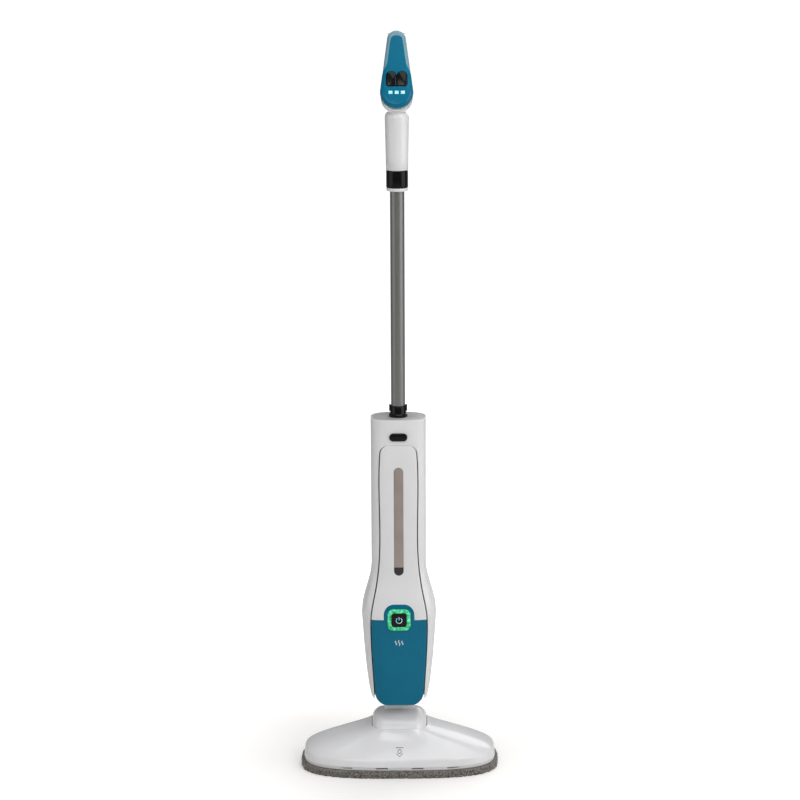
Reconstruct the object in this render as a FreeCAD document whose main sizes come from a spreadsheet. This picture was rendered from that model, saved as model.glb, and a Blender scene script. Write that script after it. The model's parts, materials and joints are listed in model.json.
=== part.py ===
"""Upright steam mop: head with pad, tilting drum, side swivel, body with tank, pole and handle.

Millimetres. +X is the object's right seen from the front, +Y points to the user behind it and
+Z is up. The origin is on the floor, under the middle of the head.
"""
import FreeCAD, Part
import math
import os
import Sketcher
from FreeCAD import Placement, Rotation, Vector

DOC = FreeCAD.newDocument("steam_mop")
SHEET = DOC.addObject("Spreadsheet::Sheet", "Sizes")
NODES = {}

# Driving dimensions: alias, value, meaning.
SIZES = [
    ("pad_width", 315.0, "mop pad, side to side"),
    ("pad_depth", 160.0, "mop pad, front to back"),
    ("pad_height", 11.0, "mop pad thickness"),
    ("pad_lip", 5.5, "how far the pad stands out past the tray"),
    ("strip_height", 1.0, "hook strip thickness"),
    ("tray_height", 5.0, "base tray, floor and rim"),
    ("tray_floor", 3.0, "base tray floor thickness"),
    ("wall", 2.5, "moulded wall thickness"),
    ("rim_height", 11.0, "upright edge of the head shell"),
    ("collar_top", 69.0, "height of the drum opening's edge"),
    ("drum_radius", 46.0, "tilting drum radius"),
    ("drum_half", 43.3, "tilting drum half width"),
    ("drum_corner", 18.0, "rounding of the drum's ends"),
    ("drum_axis", 46.0, "height of the tilt axis"),
    ("drum_gap", 0.7, "gap between drum and head shell"),
    ("axle_radius", 5.0, "tilt axle radius"),
    ("axle_bore", 3.0, "steam way through the tilt axle"),
    ("run_gap", 0.05, "running clearance on the radius"),
    ("part_gap", 0.3, "gap between neighbouring mouldings"),
    ("neck_half", 18.4, "neck half width at the top"),
    ("neck_foot", 24.8, "neck half width at the drum"),
    ("neck_thick", 16.0, "neck thickness"),
    ("roll_axis", 124.0, "height of the side swivel axis"),
    ("roll_pin_radius", 3.0, "side swivel pin radius"),
    ("tongue_radius", 11.0, "rounding of the neck's tongue"),
    ("body_foot", 114.6, "height of the housing's lower edge"),
    ("body_hip", 256.0, "height of the widest point"),
    ("body_waist", 335.0, "height where the body turns straight"),
    ("body_top", 571.0, "height of the body's top edge"),
    ("foot_half", 42.0, "half width at the lower edge"),
    ("hip_half", 59.0, "half width at the widest point"),
    ("chest_half", 43.2, "half width of the straight part"),
    ("foot_deep", 38.0, "depth from the axis at the lower edge"),
    ("hip_front", 46.8, "front depth at the widest point"),
    ("hip_rear", 41.0, "rear depth at the widest point"),
    ("chest_front", 33.5, "front depth of the straight part"),
    ("chest_rear", 30.0, "rear depth of the straight part"),
    ("proud", 2.5, "how far panel and cover stand out"),
    ("panel_drop", 40.5, "from the body's top edge down to the raised panel"),
    ("panel_half", 28.0, "panel half width at its top"),
    ("panel_corner", 13.0, "rounding of the panel's top corners"),
    ("panel_slope", 11.0, "height of the slope at the panel's top"),
    ("panel_gap", 1.6, "shadow gap beside panel and cover"),
    ("cover_top", 252.0, "shoulder line of the lower cover"),
    ("cover_foot", 108.7, "lower edge of the lower cover"),
    ("cover_corner", 19.0, "rounding of the cover's lower corners"),
    ("tab_top", 277.0, "top of the cover's tab round the button"),
    ("tab_half", 23.7, "half width of the tab"),
    ("tab_corner", 16.0, "rounding of the tab"),
    ("window_half", 7.5, "half width of the level window"),
    ("window_drop", 34.5, "from the panel's top down to the level window"),
    ("window_foot", 321.6, "bottom of the level window"),
    ("ring_half", 18.0, "outer half width of the light ring"),
    ("ring_band", 6.0, "width of the lit band"),
    ("ring_height", 252.6, "height of the power button"),
    ("pill_half", 13.8, "release button half width"),
    ("pill_radius", 6.0, "release button end radius"),
    ("pill_drop", 27.0, "from the body's top edge down to the release button"),
    ("tank_half", 25.0, "tank half width"),
    ("tank_foot", 300.0, "underside of the tank"),
    ("tank_drop", 10.5, "from the panel's top down to the tank"),
    ("tank_rear", 14.0, "rear face of the tank"),
    ("tank_wall", 1.8, "tank wall"),
    ("pole_radius", 11.0, "pole tube radius"),
    ("pole_wall", 1.0, "pole tube wall"),
    ("pole_sunk", 39.0, "how far the pole reaches into the body"),
    ("pole_length", 421.0, "pole tube length"),
    ("socket_wall", 1.5, "pole socket wall"),
    ("socket_height", 17.5, "pole socket above the body's top edge"),
    ("flange_rim", 3.6, "pole socket flange past the pole"),
    ("collar_height", 27.0, "handle collar height"),
    ("collar_wall", 5.75, "handle collar wall"),
    ("end_ring_height", 5.0, "white ring under the collar"),
    ("stem_length", 89.0, "handle stem length"),
    ("stem_flare", 1.85, "stem wider at the top than the collar"),
    ("face_rise", 10.0, "control face above the stem's top"),
    ("face_front", -26.0, "control face, front position at its foot"),
    ("face_lean", 24.4, "lean of the control face, degrees"),
    ("face_length", 123.0, "length of the control face"),
    ("face_thick", 12.0, "thickness of the control cover"),
    ("bowl_radius", 25.0, "radius of the control bowl"),
    ("tip_radius", 14.5, "radius of the control cover's tip"),
    ("loop_half", 13.5, "half thickness of the grip loop"),
    ("loop_rear", 79.0, "rear face of the grip loop"),
    ("key_radius", 8.0, "steam button radius"),
    ("screw_radius", 1.6, "self-tapping screw shank radius"),
    ("screw_head", 3.2, "self-tapping screw head radius"),
    ("pipe_radius", 3.5, "hose outer radius"),
    ("pipe_bore", 2.0, "hose bore radius"),
    ("gland_height", 215.0, "height of the cord gland"),
    ("hook_drop", 26.0, "from the body's top edge down to the lower cord hook"),
]


class Dim:
    """A size that knows its value and the expression that gives it in the document."""

    def __init__(self, value, text):
        self.value = float(value)
        self.text = text

    def __float__(self):
        return self.value

    def __neg__(self):
        return Dim(-self.value, f"(0 - {self.text})")

    def __add__(self, other):
        other = dim(other)
        return Dim(self.value + other.value, f"({self.text} + {other.text})")

    def __sub__(self, other):
        other = dim(other)
        return Dim(self.value - other.value, f"({self.text} - {other.text})")

    def __mul__(self, other):
        other = dim(other)
        return Dim(self.value * other.value, f"({self.text} * {other.text})")

    def __truediv__(self, other):
        other = dim(other)
        return Dim(self.value / other.value, f"({self.text} / {other.text})")

    def __radd__(self, other):
        return dim(other) + self

    def __rsub__(self, other):
        return dim(other) - self

    def __rmul__(self, other):
        return dim(other) * self


def dim(size):
    """Give a plain number the same form as a named size."""
    return size if isinstance(size, Dim) else Dim(size, f"({float(size)})")


class NamedSizes:
    """The sheet's cells as named sizes."""


S = NamedSizes()
for row, (alias, value, meaning) in enumerate(SIZES, start=1):
    SHEET.set(f"A{row}", meaning)
    SHEET.set(f"B{row}", str(value))
    SHEET.setAlias(f"B{row}", alias)
    setattr(S, alias, Dim(value, f"Sizes.{alias}"))
DOC.recompute()

# Sizes that follow from the driving ones.
STRIP_TOP = S.pad_height + S.strip_height
TRAY_TOP = STRIP_TOP + S.tray_height
TRAY_FLOOR_TOP = STRIP_TOP + S.tray_floor
TRAY_HALF = S.pad_width / 2 - S.pad_lip
TRAY_DEEP = S.pad_depth / 2 - S.pad_lip
SHOULDER = TRAY_TOP + S.rim_height
RING_FRONT = S.hip_front + S.proud + 1.5
PANEL_TOP = S.body_top - S.panel_drop
WINDOW_TOP = PANEL_TOP - S.window_drop
PILL_HEIGHT = S.body_top - S.pill_drop
TANK_TOP = PANEL_TOP - S.tank_drop
HOOK_LOW = S.body_top - S.hook_drop
SOCKET_RADIUS = S.pole_radius + S.socket_wall
FLANGE_RADIUS = S.pole_radius + S.flange_rim
COLLAR_RADIUS = S.pole_radius + S.collar_wall
STEM_TOP_RADIUS = COLLAR_RADIUS + S.stem_flare
SOCKET_TOP = S.body_top + S.socket_height
POLE_FOOT = S.body_top - S.pole_sunk
POLE_TOP = POLE_FOOT + S.pole_length
COLLAR_TOP = POLE_TOP + 4.0
COLLAR_FOOT = COLLAR_TOP - S.collar_height
STEM_TOP = COLLAR_TOP + S.stem_length
FACE_FOOT = STEM_TOP + S.face_rise
HEAD_ROUND = 3.0     # exponent of the head's rounded outline
BODY_FRONT_ROUND = 4.0
BODY_REAR_ROUND = 2.5
PARTING = 6.0        # where the rear shell meets the side shells, behind the axis


# ---------------------------------------------------------------- shared makers

def bind(item, prop, size):
    """Tie a property to the sheet."""
    item.setExpression(prop, dim(size).text)


def place(item, x=0, y=0, z=0, rotation=None):
    """Turn an object, then tie its position to the sheet."""
    if rotation is not None:
        item.Placement = Placement(Vector(), rotation)
    for letter, size in zip("xyz", (x, y, z)):
        bind(item, f"Placement.Base.{letter}", size)
    return item


ALONG_X = Rotation(Vector(0, 1, 0), 90)
ALONG_Y = Rotation(Vector(1, 0, 0), -90)


def box(name, corner, size):
    """Block from its low corner and its three lengths."""
    item = DOC.addObject("Part::Box", name)
    for prop, length in zip(("Length", "Width", "Height"), size):
        bind(item, prop, length)
    return place(item, *corner)


def centred_box(name, half_x, y_range, z_range):
    """Block centred on X between two Y and two Z values."""
    low_y, high_y = (dim(y) for y in y_range)
    low_z, high_z = (dim(z) for z in z_range)
    half_x = dim(half_x)
    return box(name, (-half_x, low_y, low_z), (half_x * 2, high_y - low_y, high_z - low_z))


def rod(name, radius, start, length, turn=None):
    """Round bar from a start point, along Z unless turned."""
    item = DOC.addObject("Part::Cylinder", name)
    bind(item, "Radius", radius)
    bind(item, "Height", length)
    return place(item, *start, rotation=turn)


def cone(name, low_radius, high_radius, start, length, turn=None):
    """Tapered bar from a start point, along Z unless turned."""
    item = DOC.addObject("Part::Cone", name)
    bind(item, "Radius1", low_radius)
    bind(item, "Radius2", high_radius)
    bind(item, "Height", length)
    return place(item, *start, rotation=turn)


def cut(name, base, *tools):
    """Base less every tool."""
    for index, tool in enumerate(tools):
        item = DOC.addObject("Part::Cut", f"{name}_cut{index}")
        item.Base = base
        item.Tool = tool
        base = item
    base.Label = name
    return base


def fuse(name, *shapes):
    """One solid from several."""
    item = DOC.addObject("Part::MultiFuse", name)
    item.Shapes = list(shapes)
    item.Refine = True
    return item


def common(name, first, second):
    """What two shapes share."""
    item = DOC.addObject("Part::Common", name)
    item.Base = first
    item.Tool = second
    return item


def group(name, shapes):
    """Several separate solids under one name."""
    item = DOC.addObject("Part::Compound", name)
    item.Links = list(shapes)
    return item


def formed(name, shape):
    """A shape made with Part's own functions."""
    item = DOC.addObject("Part::Feature", name)
    item.Shape = shape
    return item


def pipe(name, radius, bore, start, length, turn=None):
    """Straight tube."""
    outer = rod(f"{name}_outer", radius, start, length, turn)
    inner = rod(f"{name}_inner", bore, start, length, turn)
    return cut(name, outer, inner)


def node(name, item):
    """Register an object as a finished piece under its own name."""
    item.Label = name
    NODES[name] = item
    return item


# ---------------------------------------------------------------- PartDesign makers

def new_body(name):
    """An empty PartDesign body."""
    body = DOC.addObject("PartDesign::Body", f"{name}_body")
    body.Label = name
    return body


def new_sketch(body, role, offset=0):
    """A sketch on one of the body's own origin planes."""
    sketch = body.newObject("Sketcher::SketchObject", f"{body.Label}_sketch")
    plane = [item for item in body.Origin.OriginFeatures if item.Role == role][0]
    sketch.AttachmentSupport = [(plane, "")]
    sketch.MapMode = "FlatFace"
    bind(sketch, "AttachmentOffset.Base.z", offset)
    return sketch


def fix_point(sketch, geometry, end, x, y):
    """Tie a sketch point's place to the sheet."""
    for kind, letter, size in (("DistanceX", "x", dim(x)), ("DistanceY", "y", dim(y))):
        index = sketch.addConstraint(Sketcher.Constraint(kind, -1, 1, geometry, end, size.value))
        sketch.renameConstraint(index, f"{letter}_{geometry}_{end}")
        bind(sketch, f"Constraints.{letter}_{geometry}_{end}", size)


def draw_polygon(sketch, points):
    """Closed straight-sided outline through points."""
    points = [(dim(x), dim(y)) for x, y in points]
    count = len(points)
    first = sketch.GeometryCount
    for index in range(count):
        start = points[index]
        end = points[(index + 1) % count]
        sketch.addGeometry(Part.LineSegment(Vector(start[0].value, start[1].value, 0),
                                            Vector(end[0].value, end[1].value, 0)))
    for index in range(count):
        line = first + index
        following = first + (index + 1) % count
        sketch.addConstraint(Sketcher.Constraint("Coincident", line, 2, following, 1))
        fix_point(sketch, line, 1, *points[index])
    return sketch


def draw_circle(sketch, x, y, radius):
    """Circle with its centre and radius tied to the sheet."""
    radius = dim(radius)
    circle = Part.Circle(Vector(float(x), float(y), 0), Vector(0, 0, 1), radius.value)
    index = sketch.addGeometry(circle)
    fix_point(sketch, index, 3, x, y)
    constraint = sketch.addConstraint(Sketcher.Constraint("Radius", index, radius.value))
    sketch.renameConstraint(constraint, f"radius_{index}")
    bind(sketch, f"Constraints.radius_{index}", radius)
    return sketch


def pad(body, sketch, length, symmetric=False, reverse=False):
    """Raise a sketch into a solid."""
    feature = body.newObject("PartDesign::Pad", f"{body.Label}_pad")
    feature.Profile = sketch
    feature.SideType = "Symmetric" if symmetric else "One side"
    feature.Reversed = reverse
    bind(feature, "Length", length)
    return feature


def pocket(body, sketch, length=None, symmetric=False, reverse=False):
    """Cut a sketch out of the body, right through unless a depth is given."""
    feature = body.newObject("PartDesign::Pocket", f"{body.Label}_pocket")
    feature.Profile = sketch
    feature.SideType = "Symmetric" if symmetric else "One side"
    feature.Reversed = reverse
    if length is None:
        feature.Type = "ThroughAll"
    else:
        bind(feature, "Length", length)
    return feature


def revolve(body, sketch, axis="V_Axis", groove=False):
    """Turn a sketch round one of its own axes."""
    kind = "Groove" if groove else "Revolution"
    feature = body.newObject(f"PartDesign::{kind}", f"{body.Label}_{kind.lower()}")
    feature.Profile = sketch
    feature.ReferenceAxis = (sketch, [axis])
    feature.Angle = 360
    return feature


def round_edges(body, feature, radius, test):
    """Fillet the edges of a feature that pass a test."""
    DOC.recompute()
    names = [f"Edge{index}" for index, edge in enumerate(feature.Shape.Edges, start=1) if test(edge)]
    fillet = body.newObject("PartDesign::Fillet", f"{body.Label}_fillet")
    fillet.Base = (feature, names)
    bind(fillet, "Radius", radius)
    return fillet


def runs_along(axis):
    """Test for straight edges along an axis."""
    def test(edge):
        if edge.Curve.TypeId != "Part::GeomLine":
            return False
        return abs(abs(edge.tangentAt(edge.FirstParameter).dot(axis)) - 1) < 1e-6
    return test


Z_AXIS = Vector(0, 0, 1)


def turned(name, points, axis="V_Axis", role="XZ_Plane"):
    """A turned piece from its half section."""
    body = new_body(name)
    sketch = draw_polygon(new_sketch(body, role), points)
    revolve(body, sketch, axis)
    return body


def pill(name, half_width, radius, front, length, height):
    """Bar with round ends, lying across X, with its length along Y."""
    half_width, radius, front = dim(half_width), dim(radius), dim(front)
    reach = half_width - radius
    middle = box(f"{name}_middle", (-reach, front, height - radius), (reach * 2, length, radius * 2))
    ends = [rod(f"{name}_end{index}", radius, (x, front, height), length, ALONG_Y)
            for index, x in enumerate((-reach, reach))]
    return fuse(name, middle, *ends)


# ---------------------------------------------------------------- curved outlines

def power(value, exponent):
    """Signed power."""
    return math.copysign(abs(value) ** exponent, value)


def outline(half_x, front, rear, front_round, rear_round, z, count=48):
    """Closed smooth outline at a height: a rounded rectangle with its own front and rear."""
    points = []
    for step in range(count):
        angle = 2 * math.pi * step / count
        across, along = math.cos(angle), math.sin(angle)
        deep, exponent = (rear, rear_round) if along > 0 else (front, front_round)
        points.append(Vector(half_x * power(across, 2 / exponent), deep * power(along, 2 / exponent), z))
    curve = Part.BSplineCurve()
    curve.interpolate(points, PeriodicFlag=True)
    return Part.Wire([curve.toShape()])


def skin(wires):
    """Solid through outlines, straight from each to the next so that walls stay parallel."""
    solid = Part.makeLoft(wires, True, True)
    if solid.Volume < 0:
        solid.reverse()
    return solid


def smooth_share(value):
    """Ease from 0 to 1."""
    value = min(max(value, 0.0), 1.0)
    return value * value * (3 - 2 * value)


# ---------------------------------------------------------------- head

def make_pad():
    """Soft pad and the strips that hold it."""
    half_x, half_y, top = float(S.pad_width) / 2, float(S.pad_depth) / 2, float(S.pad_height)
    wires = [outline(half_x, half_y, half_y, HEAD_ROUND, HEAD_ROUND, z) for z in (0.0, top)]
    node("mop_pad", formed("mop_pad", skin(wires)))
    strip_length, strip_depth, strip_y = S.pad_width * 0.72, 22.0, S.pad_depth * 0.28
    strips = [box(f"strip{index}", (-strip_length / 2, y - strip_depth / 2, S.pad_height),
                  (strip_length, strip_depth, S.strip_height))
              for index, y in enumerate((-strip_y, strip_y))]
    node("hook_strips", group("hook_strips", strips))


def head_screws():
    """Screws up through the base tray, heads flush with its underside."""
    screws = []
    for x in (-1, 1):
        for y in (-1, 0, 1):
            spot = (S.pad_width * 0.42 * x, S.pad_depth * 0.14 * y, STRIP_TOP)
            tag = f"head_screw_{x + 1}{y + 1}"
            shank = rod(f"{tag}_shank", S.screw_radius, spot, 12)
            head = cone(f"{tag}_head", S.screw_head, S.screw_radius, spot, 1.6)
            screws.append(fuse(tag, shank, head))
    return node("head_screws", group("head_screws", screws))


def make_tray(screws):
    """Base tray with the slots in its front rim."""
    half_x, half_y = float(TRAY_HALF), float(TRAY_DEEP)
    low, floor_top, top = float(STRIP_TOP), float(TRAY_FLOOR_TOP), float(TRAY_TOP)
    wall = float(S.wall)
    solid = skin([outline(half_x, half_y, half_y, HEAD_ROUND, HEAD_ROUND, z) for z in (low, top)])
    hollow = skin([outline(half_x - wall, half_y - wall, half_y - wall, HEAD_ROUND, HEAD_ROUND, z)
                   for z in (floor_top, top + 1)])
    tray = formed("tray_blank", solid.cut(hollow))
    slot_length, slot_height = 19.0, 2.6
    spacing = S.pad_width * 0.18
    slots = [box(f"tray_slot{index}", (spacing * step - slot_length / 2, -S.pad_depth / 2, STRIP_TOP + 1.6),
                 (slot_length, 14.0, slot_height))
             for index, step in enumerate((-1.5, -0.5, 0.5, 1.5))]
    node("base_plate", cut("base_plate", tray, screws, *slots))


def shell_section(height):
    """Half width and half depth of the head shell at a height."""
    rim_x, rim_y = float(TRAY_HALF) + 1.0, float(TRAY_DEEP) + 1.0
    shoulder_x, shoulder_y = rim_x - 1.5, rim_y - 3.0
    collar_x, collar_y = float(S.drum_half) + 4.2, float(S.drum_half) + 1.2
    if height <= float(SHOULDER):
        share = (height - float(TRAY_TOP)) / float(S.rim_height)
        return rim_x + (shoulder_x - rim_x) * share, rim_y + (shoulder_y - rim_y) * share
    rise = (height - float(SHOULDER)) / (float(S.collar_top) - float(SHOULDER))
    rise = min(rise, 1.0)
    wide = (1 - rise ** 1.6) ** 1.35
    deep = (1 - rise) ** 1.4
    return collar_x + (shoulder_x - collar_x) * wide, collar_y + (shoulder_y - collar_y) * deep


def shell_form(inset):
    """Head shell's outer form, or its hollow when inset."""
    bottom, shoulder, top = float(TRAY_TOP), float(SHOULDER), float(S.collar_top)
    heights = [bottom, bottom + (shoulder - bottom) * 0.6, shoulder]
    heights += [shoulder + (top - shoulder) * share
                for share in (0.04, 0.1, 0.18, 0.27, 0.37, 0.48, 0.6, 0.72, 0.84, 0.93, 1.0)]
    wires = []
    for height in heights:
        half_x, half_y = shell_section(height)
        lowered = bottom + (height - bottom) * (top - inset - bottom) / (top - bottom) if inset else height
        deep = half_y - inset
        wires.append(outline(half_x - inset, deep, deep, HEAD_ROUND, HEAD_ROUND, lowered))
    return skin(wires)


def make_shell():
    """Top shell with the drum opening and a notch behind it for the neck."""
    axis, radius = float(S.drum_axis), float(S.drum_radius) + float(S.drum_gap)
    half = float(S.drum_half) + float(S.drum_gap)
    wall = float(S.wall)
    notch_half = float(S.neck_foot) + 2.5
    notch_floor, notch_rear = axis + 5.0, float(S.pad_depth) / 2
    notch = Part.makeBox(2 * notch_half, notch_rear, 60, Vector(-notch_half, 0, notch_floor))
    guard = Part.makeBox(2 * (notch_half + wall), notch_rear, 60,
                         Vector(-notch_half - wall, 0, notch_floor - wall))
    outer = shell_form(0.0).cut(notch)
    inner = shell_form(wall).cut(guard)
    opening = Part.makeCylinder(radius, 2 * half, Vector(-half, 0, axis), Vector(1, 0, 0))
    ends = [edge for edge in opening.Edges if edge.Curve.TypeId == "Part::GeomCircle"]
    opening = opening.makeFillet(float(S.drum_corner + S.drum_gap), ends)
    node("head_shell", formed("head_shell", outer.cut(inner).cut(opening)))


def make_cradle():
    """Bearing blocks, the guard behind the drum, bushes and the steam path."""
    block_in, block_out = S.drum_half + 2.2, S.drum_half + 12.2
    bush_radius = S.axle_radius + 2.0
    blocks = []
    bores = []
    for side in (-1, 1):
        low_x = block_in if side > 0 else -block_out
        tag = "right" if side > 0 else "left"
        foot = box(f"cradle_{tag}_foot", (low_x, -14, TRAY_FLOOR_TOP),
                   (block_out - block_in, 44, 9.0))
        post = box(f"cradle_{tag}_post", (low_x, -11, TRAY_FLOOR_TOP),
                   (block_out - block_in, 22, S.drum_axis - TRAY_FLOOR_TOP))
        crown = rod(f"cradle_{tag}_crown", 11, (low_x, 0, S.drum_axis), block_out - block_in, ALONG_X)
        blocks += [foot, post, crown]
        bores.append(rod(f"cradle_{tag}_bore", bush_radius, (low_x, 0, S.drum_axis),
                         block_out - block_in, ALONG_X))
    guard_half = S.drum_half - S.drum_corner - 1.3
    bridge = centred_box("cradle_bridge", block_out, (22, 30), (TRAY_FLOOR_TOP, TRAY_FLOOR_TOP + 4))
    guard_foot = centred_box("guard_foot", guard_half, (24, 29), (TRAY_FLOOR_TOP, TRAY_FLOOR_TOP + 8))
    lip_range = (TRAY_FLOOR_TOP + 4, TRAY_FLOOR_TOP + 9)
    guard_lip = centred_box("guard_lip", guard_half, (27, 32.5), lip_range)
    guard_outer = S.drum_radius - S.wall - 1.5
    arc = pipe("guard_arc", guard_outer, guard_outer - S.wall, (-guard_half, 0, S.drum_axis),
               guard_half * 2, ALONG_X)
    keep = centred_box("guard_keep", S.drum_half, (29, 60), (TRAY_FLOOR_TOP + 6, S.drum_axis + 21))
    slot_range = (S.drum_axis + 8, S.drum_axis + 30)
    neck_slot = centred_box("guard_neck_slot", S.neck_half - 2.8, (20, 60), slot_range)
    guard = cut("guard", common("guard_blank", arc, keep), neck_slot)
    whole = fuse("cradle_blank", *blocks, bridge, guard_foot, guard_lip, guard)
    node("pivot_cradle", cut("pivot_cradle", whole, *bores))
    bushes = []
    for side, low_x in (("left", -block_out), ("right", block_in)):
        bushes.append(pipe(f"bush_{side}", bush_radius, S.axle_radius + S.run_gap,
                           (low_x, 0, S.drum_axis), block_out - block_in, ALONG_X))
    node("pivot_bushes", group("pivot_bushes", bushes))


def make_head_steam():
    """Steam plate, banjo fitting on the axle and the hose between them."""
    plate = centred_box("steam_plate_flat", 38, (-24, 18), (TRAY_FLOOR_TOP, TRAY_FLOOR_TOP + 4))
    spigot = rod("steam_spigot", S.pipe_bore, (0, 0, TRAY_FLOOR_TOP + 4), 6)
    whole = fuse("steam_plate_blank", plate, spigot)
    holes = [rod(f"jet{index}", 1.0, (x, y, TRAY_FLOOR_TOP), 4.0)
             for index, (x, y) in enumerate((x, y) for x in (-30, -18, 18, 30) for y in (-16, 10))]
    node("steam_plate", cut("steam_plate", whole, *holes))
    outer = S.axle_radius + 4.0
    ring = rod("banjo_ring", outer, (-6, 0, S.drum_axis), 12, ALONG_X)
    tail = rod("banjo_tail", S.pipe_bore, (0, 0, S.drum_axis - outer - 5), 8.0)
    bore = rod("banjo_bore", S.axle_radius + S.run_gap, (-7, 0, S.drum_axis), 14, ALONG_X)
    node("steam_banjo", cut("steam_banjo", fuse("banjo_blank", ring, tail), bore))
    low = TRAY_FLOOR_TOP + 4
    node("head_hose", pipe("head_hose", S.pipe_radius, S.pipe_bore, (0, 0, low),
                           S.drum_axis - outer - low))


# ---------------------------------------------------------------- swivel

def make_drum():
    """Hollow drum, closed only where it shows or can come to show as it tilts."""
    body = new_body("swivel_drum")
    half, radius = S.drum_half, S.drum_radius
    sketch = draw_polygon(new_sketch(body, "XZ_Plane"),
                          [(-half, 0), (half, 0), (half, radius), (-half, radius)])
    solid = revolve(body, sketch, "H_Axis")
    outer = float(radius)
    rounded = round_edges(body, solid, S.drum_corner,
                          lambda edge: edge.Curve.TypeId == "Part::GeomCircle"
                          and abs(edge.Curve.Radius - outer) < 0.01)
    hub = S.axle_radius + 4.0
    inside, deep = half - S.wall, radius - S.wall
    slope = S.drum_corner - 2.2
    hollow = draw_polygon(new_sketch(body, "XZ_Plane"),
                          [(-inside, hub), (inside, hub), (inside, deep - slope), (inside - slope, deep),
                           (-(inside - slope), deep), (-inside, deep - slope)])
    revolve(body, hollow, "H_Axis", groove=True)
    core = draw_polygon(new_sketch(body, "XZ_Plane"),
                        [(-(inside), 0), (inside, 0), (inside, hub + 0.01), (-inside, hub + 0.01)])
    revolve(body, core, "H_Axis", groove=True)
    bore = draw_circle(new_sketch(body, "YZ_Plane"), 0, 0, S.axle_radius)
    pocket(body, bore, half * 4, symmetric=True)
    front, rear = math.radians(130), math.radians(64)
    wedge = draw_polygon(new_sketch(body, "YZ_Plane"),
                         [(0, -hub), (-hub, -6.0),
                          (radius * -1.6 * math.sin(front), radius * 1.6 * math.cos(front)),
                          (0, radius * -1.7),
                          (radius * 1.6, radius * -1.6),
                          (radius * 1.6 * math.sin(rear), radius * 1.6 * math.cos(rear)),
                          (hub, 3.0)])
    pocket(body, wedge, half * 4, symmetric=True)
    place(body, 0, 0, S.drum_axis)
    half_slot, thick = S.neck_half - 4.0, S.neck_thick / 2 - 2.0
    top = S.drum_axis + radius
    way = centred_box("drum_way", half_slot, (-thick, thick), (top - 8, top + 6))
    node("swivel_drum", cut("swivel_drum", body, way))
    body.Label = "swivel_drum_blank"
    length = S.drum_half + 11.0
    node("pitch_axle", pipe("pitch_axle", S.axle_radius, S.axle_bore, (-length, 0, S.drum_axis),
                            length * 2, ALONG_X))


def make_neck():
    """Flared neck plate with the tongue of the side swivel."""
    body = new_body("neck_yoke_blank")
    drum_top = S.drum_axis + S.drum_radius
    low, throat = drum_top - 1.0, S.roll_axis - 20.0
    sketch = draw_polygon(new_sketch(body, "XZ_Plane"),
                          [(-S.neck_foot, low), (S.neck_foot, low), (S.neck_foot, low + 2.5),
                           (S.neck_half + 1.5, throat - 2), (S.neck_half, throat),
                           (S.tongue_radius, throat + 6),
                           (S.tongue_radius, S.roll_axis), (-S.tongue_radius, S.roll_axis),
                           (-S.tongue_radius, throat + 6), (-S.neck_half, throat),
                           (-(S.neck_half + 1.5), throat - 2), (-S.neck_foot, low + 2.5)])
    pad(body, sketch, S.neck_thick, symmetric=True)
    half = S.neck_thick / 2
    crown = rod("tongue_crown", S.tongue_radius, (0, -half, S.roll_axis), S.neck_thick, ALONG_Y)
    plug = centred_box("neck_plug", S.neck_half - 4.3, (-(half - 2.3), half - 2.3), (drum_top - 9, low + 2))
    bore = rod("tongue_bore", S.roll_pin_radius + S.run_gap, (0, -half, S.roll_axis), S.neck_thick, ALONG_Y)
    seat = rod("neck_seat", S.drum_radius, (-60, 0, S.drum_axis), 120, ALONG_X)
    plate = cut("neck_plate", fuse("neck_stack", body, crown), seat)
    steam_way = rod("neck_way", 3.5, (0, 0, drum_top - 10), 22)
    node("neck_yoke", cut("neck_yoke", fuse("neck_blank", plate, plug), bore, steam_way))
    node("drum_hose", pipe("drum_hose", 3.5, S.pipe_bore, (0, 0, S.drum_axis + S.axle_radius + 4.5),
                           S.drum_radius - S.axle_radius - 14.5 + 20))


# ---------------------------------------------------------------- body form

def body_section(height):
    """Half width, front depth and rear depth of the body at a height."""
    foot, hip, waist = float(S.body_foot), float(S.body_hip), float(S.body_waist)
    hip_sizes = [float(S.hip_half), float(S.hip_front), float(S.hip_rear)]
    if height < hip:
        share = max(height - foot, 0.0) / (hip - foot)
        share = share ** 0.6 * (1 - 0.12 * share) / 0.88
        base = [float(S.foot_half), float(S.foot_deep), float(S.foot_deep)]
    else:
        share = 1 - smooth_share((height - hip) / (waist - hip))
        base = [float(S.chest_half), float(S.chest_front), float(S.chest_rear)]
    return [low + (high - low) * share for low, high in zip(base, hip_sizes)]


def body_heights(low, high):
    """Heights to shape the body through, between two limits."""
    foot, hip, waist, top = (float(size) for size in (S.body_foot, S.body_hip, S.body_waist, S.body_top))
    heights = [foot + (hip - foot) * share for share in (0.0, 0.03, 0.08, 0.17, 0.3, 0.46, 0.64, 0.82, 1.0)]
    heights += [hip + (waist - hip) * share for share in (0.15, 0.28, 0.4, 0.5, 0.6, 0.72, 0.85, 1.0)]
    heights += [top]
    inside = [height for height in heights if low + 2 < height < high - 2]
    return [low] + inside + [high]


def body_form(grow, low, high):
    """The body's outer form between two heights, grown outwards or inwards."""
    wires = []
    for height in body_heights(low, high):
        half, front, rear = (size + grow for size in body_section(height))
        wires.append(outline(half, front, rear, BODY_FRONT_ROUND, BODY_REAR_ROUND, height))
    return skin(wires)


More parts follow.
